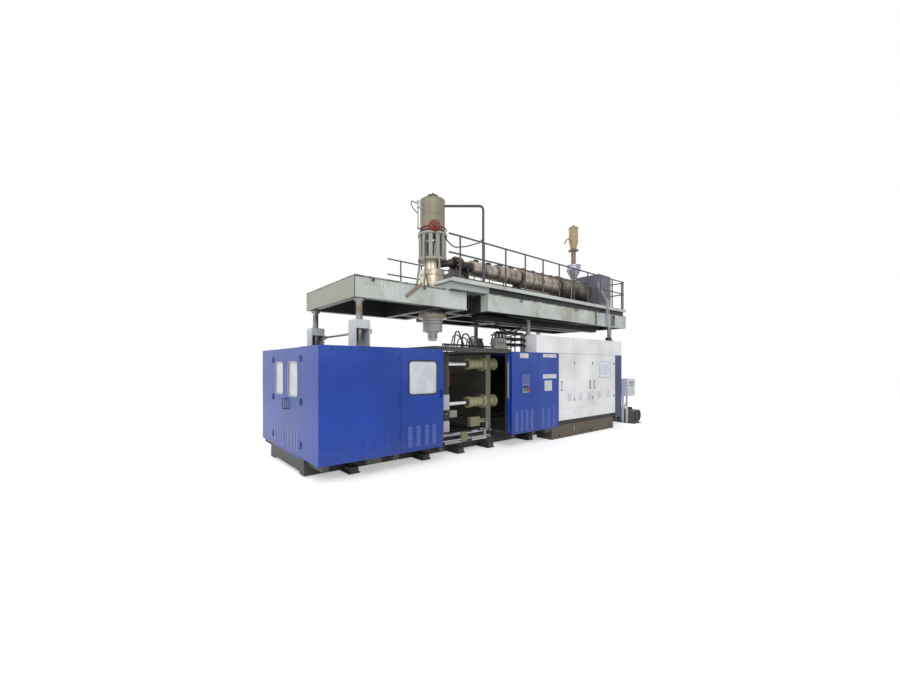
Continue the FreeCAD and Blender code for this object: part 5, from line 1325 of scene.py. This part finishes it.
class MACHINE_OT_opening_details(bpy.types.Operator):
    """Pipes, hoses and junction boxes fixed round the mould opening"""
    bl_idname = "machine.opening_details"
    bl_label = "Opening details"

    def execute(self, context):
        piece("low_pipes", "galvanised", "base",
              pipe(0.013, [(2310, 122, 440), (3540, 122, 440), (3540, 122, 620),
                           (3540, 260, 640)], 0.05),
              pipe(0.013, [(2310, 122, 338), (3620, 122, 338), (3620, 122, 290)], 0.05))
        piece("pipe_bracket", "olive_dark", "base",
              block((2845, 104, 284), (2995, 170, 462), 0.006))
        piece("junction_boxes", "lilac_box", "base",
              [block((2400, 112, low), (2545, 180, high), 0.010)
               for low, high in ((512, 715), (922, 1212))])
        piece("sensor_box", "grey", "base",
              block((2560, 116, 772), (2735, 200, 902), 0.008),
              block((2330, 186, 300), (2360, 206, 1900), 0.002),
              block((2360, 186, 830), (2570, 200, 850), 0.002),
              [block((2355, 176, z), (2410, 188, z + 30), 0.002) for z in (600, 1060)])
        piece("junction_leads", "rubber", "base",
              [pipe(0.009, [(x, 150, low - 3), (x - 20, 166, (low + high) / 2),
                            (x + 10, 150, high + 3)], 0.05)
               for x, low, high in ((2430, 715, 922), (2470, 715, 922), (2440, 1212, 2056),
                                    (2490, 1212, 2056), (2520, 1212, 2056))])
        self.header_pipes()
        self.manifold()
        return {"FINISHED"}

    @staticmethod
    def header_pipes():
        """Dark pipes and hoses laid along the front header of the portal."""
        pipes = []
        for k in range(5):
            x, y = 2380 + 60 * k, 128 + 24 * k
            z = 2134 + (0 if k % 2 else 10)
            pipes.append(pipe(0.011 + 0.002 * (k % 3), [
                (x, y, 2126), (x, y, z + 20), (3200, y, z + 14), (3740 - 40 * k, y, z + 10)], 0.03))
        hoses = []
        # start, reach and rise of each hose
        spans = ((2600, 330, 190), (2680, 250, 260), (2760, 420, 150), (2900, 300, 230),
                 (2980, 200, 120), (3060, 340, 180), (3200, 260, 90), (3330, 210, 140))
        for k, (x, reach, rise) in enumerate(spans):
            y = 130 + 17 * (k % 4)
            far = y + 30 * (k % 3)
            hoses.append(pipe(0.012 + 0.003 * (k % 2), [
                (x, y, 2124), (x + 0.15 * reach, y + 8, 2140 + rise),
                (x + 0.55 * reach, y + 20, 2170 + rise), (x + 0.9 * reach, far, 2130 + rise * 0.5),
                (x + reach, far, 2124)], 0.10))
        piece("header_pipes", "iron", "base", pipes)
        piece("header_hoses", "rubber", "base", hoses)

    @staticmethod
    def manifold():
        """Solenoid coils, plugs and hoses of the valve block."""
        coils = []
        for x in (3870, 3970, 4070):
            coils += [bar(0.026, (x, 189, 2340), (x, 189, 2410), 24),
                      block((x - 20, 168, 2410), (x + 20, 208, 2440), 0.004),
                      bar(0.012, (x, 100, 2245), (x, 84, 2245), 16)]
        piece("manifold_coils", "iron", "base", coils)
        piece("manifold_hoses", "rubber", "base",
              [pipe(0.012, [(x, 262, 2240), (x, 330, 2240), (x + 150, 420, 2190),
                            (4310, far, 2150), (4330, far, 2066)], 0.08)
               for x, far in ((3850, 400), (3950, 460), (4050, 520))])


class MACHINE_OT_base_details(bpy.types.Operator):
    """Seam, lips, drain plugs and oil gauge of the tank"""
    bl_idname = "machine.base_details"
    bl_label = "Base details"

    def execute(self, context):
        piece("plinth_seam", "black", "base", block((7062, -3, 4), (7078, 1, 318), 0.001))
        piece("plinth_lips", "brown", "base",
              [block((start, -5, 300), (end, 0.5, 318), 0.002)
               for start, end in ((5600, 7060), (7080, 8478))])
        piece("plinth_plugs", "iron", "base",
              [bolt((x, 0, 70), FRONT, 0.018, 0.014) for x in (5900, 6900, 7300, 8300)])
        piece("oil_gauge", "zinc", "base", block((6500, -8, 110), (6530, 0, 240), 0.003),
              [bolt((6515, -8, z), FRONT, 0.010, 0.006) for z in (122, 228)])
        return {"FINISHED"}


class MACHINE_OT_side_units(bpy.types.Operator):
    """Cowl, terminal box and rims of the blower; face and knobs of the control station"""
    bl_idname = "machine.side_units"
    bl_label = "Side unit details"

    def execute(self, context):
        x, z = 9920, 240
        cowl = collar(0.150, 0.178, (x, -52, z), (x, -14, z), 48)
        guard = [ring(r, 0.003, (x, -46, z), "Y", 40, 6) for r in (0.03, 0.06, 0.09, 0.12, 0.148)]
        for angle in range(0, 180, 45):
            way = Vector((math.cos(math.radians(angle)), 0, math.sin(math.radians(angle)))) * 0.150
            guard.append(bar(0.003, mm(x, -46, z) + way, mm(x, -46, z) - way, 8))
        piece("blower_cowl", "black", "base", cowl, guard)
        piece("blower_terminal", "black", "base",
              block((x - 55, 150, z + 165), (x + 55, 290, z + 235), 0.008))
        piece("blower_rims", "iron", "base",
              [ring(0.1985, 0.008, (x, y, z), "Y", 56, 8) for y in (506, 614)],
              bolt_circle((x, 500, z), "-Y", 0.185, 10, 0.008, 0.008))
        self.station()
        piece("air_pipe_flanges", "iron", "base",
              collar(0.0305, 0.050, (8971, 700, 150), (8986, 700, 150), 36),
              collar(0.0305, 0.050, (9690, 560, 150), (9706, 560, 150), 36),
              collar(0.0305, 0.036, (9120, 700, 150), (9150, 700, 150), 32))
        return {"FINISHED"}

    @staticmethod
    def station():
        piece("station_face", "station_face", "base",
              panel((9897, 137, 1090), 0.400, 0.470, 0.010, 0.006))
        knobs = []
        for x in (9757, 9837, 9917, 9997):
            knobs += [bar(0.022, (x, 134, 1240), (x, 126, 1240), 24),
                      block((x - 5, 112, 1224), (x + 5, 122, 1256), 0.002)]
        knobs += [bar(0.016, (x, 134, 1150), (x, 122, 1150), 20) for x in (9790, 9880, 9970)]
        piece("station_knobs", "iron", "base", knobs)
        piece("station_conduit", "rubber", "base",
              pipe(0.013, [(9790, 262, 820), (9790, 262, 620), (9800, 330, 470),
                           (9812, 330, 395)], 0.06))
        piece("station_hinges", "iron", "base",
              [bar(0.008, (10116, 144, z), (10116, 144, z + 60), 12) for z in (880, 1240)])


# ------------------------------------------------------------------ panel and registration

class MACHINE_PT_panel(bpy.types.Panel):
    """Buttons for each group of pieces, and the sizes and colours they read"""
    bl_idname = "MACHINE_PT_panel"
    bl_label = "Blow moulding machine"
    bl_space_type = "VIEW_3D"
    bl_region_type = "UI"
    bl_category = "Machine"

    def draw(self, context):
        column = self.layout.column(align=True)
        for operator in OPERATORS:
            column.operator(operator.bl_idname)
        for name in SETTINGS:
            settings = getattr(context.scene, name)
            box = self.layout.box()
            for key in settings.bl_rna.properties.keys():
                if key not in ("rna_type", "name"):
                    box.prop(settings, key)


SETTINGS = {"machine_paint": PaintSettings, "machine_details": DetailSettings,
            "machine_stage": StageSettings}
OPERATORS = [
    MACHINE_OT_finishes, MACHINE_OT_screw_threads, MACHINE_OT_drop_hoses,
    MACHINE_OT_frame_details, MACHINE_OT_rail_details, MACHINE_OT_window_gaskets,
    MACHINE_OT_cover_details, MACHINE_OT_operator_station, MACHINE_OT_cabinet_details,
    MACHINE_OT_heater_details, MACHINE_OT_head_details, MACHINE_OT_platen_details,
    MACHINE_OT_opening_details, MACHINE_OT_base_details, MACHINE_OT_side_units, MACHINE_OT_stage,
]
CLASSES = [*SETTINGS.values(), *OPERATORS, MACHINE_PT_panel]


def register():
    for cls in CLASSES:
        bpy.utils.register_class(cls)
    for name, settings in SETTINGS.items():
        setattr(bpy.types.Scene, name, bpy.props.PointerProperty(type=settings))


def unregister():
    for name in SETTINGS:
        delattr(bpy.types.Scene, name)
    for cls in reversed(CLASSES):
        bpy.utils.unregister_class(cls)


def main():
    register()
    for operator in OPERATORS:
        getattr(bpy.ops.machine, operator.bl_idname.split(".")[1])()


if __name__ == "__main__":
    main()
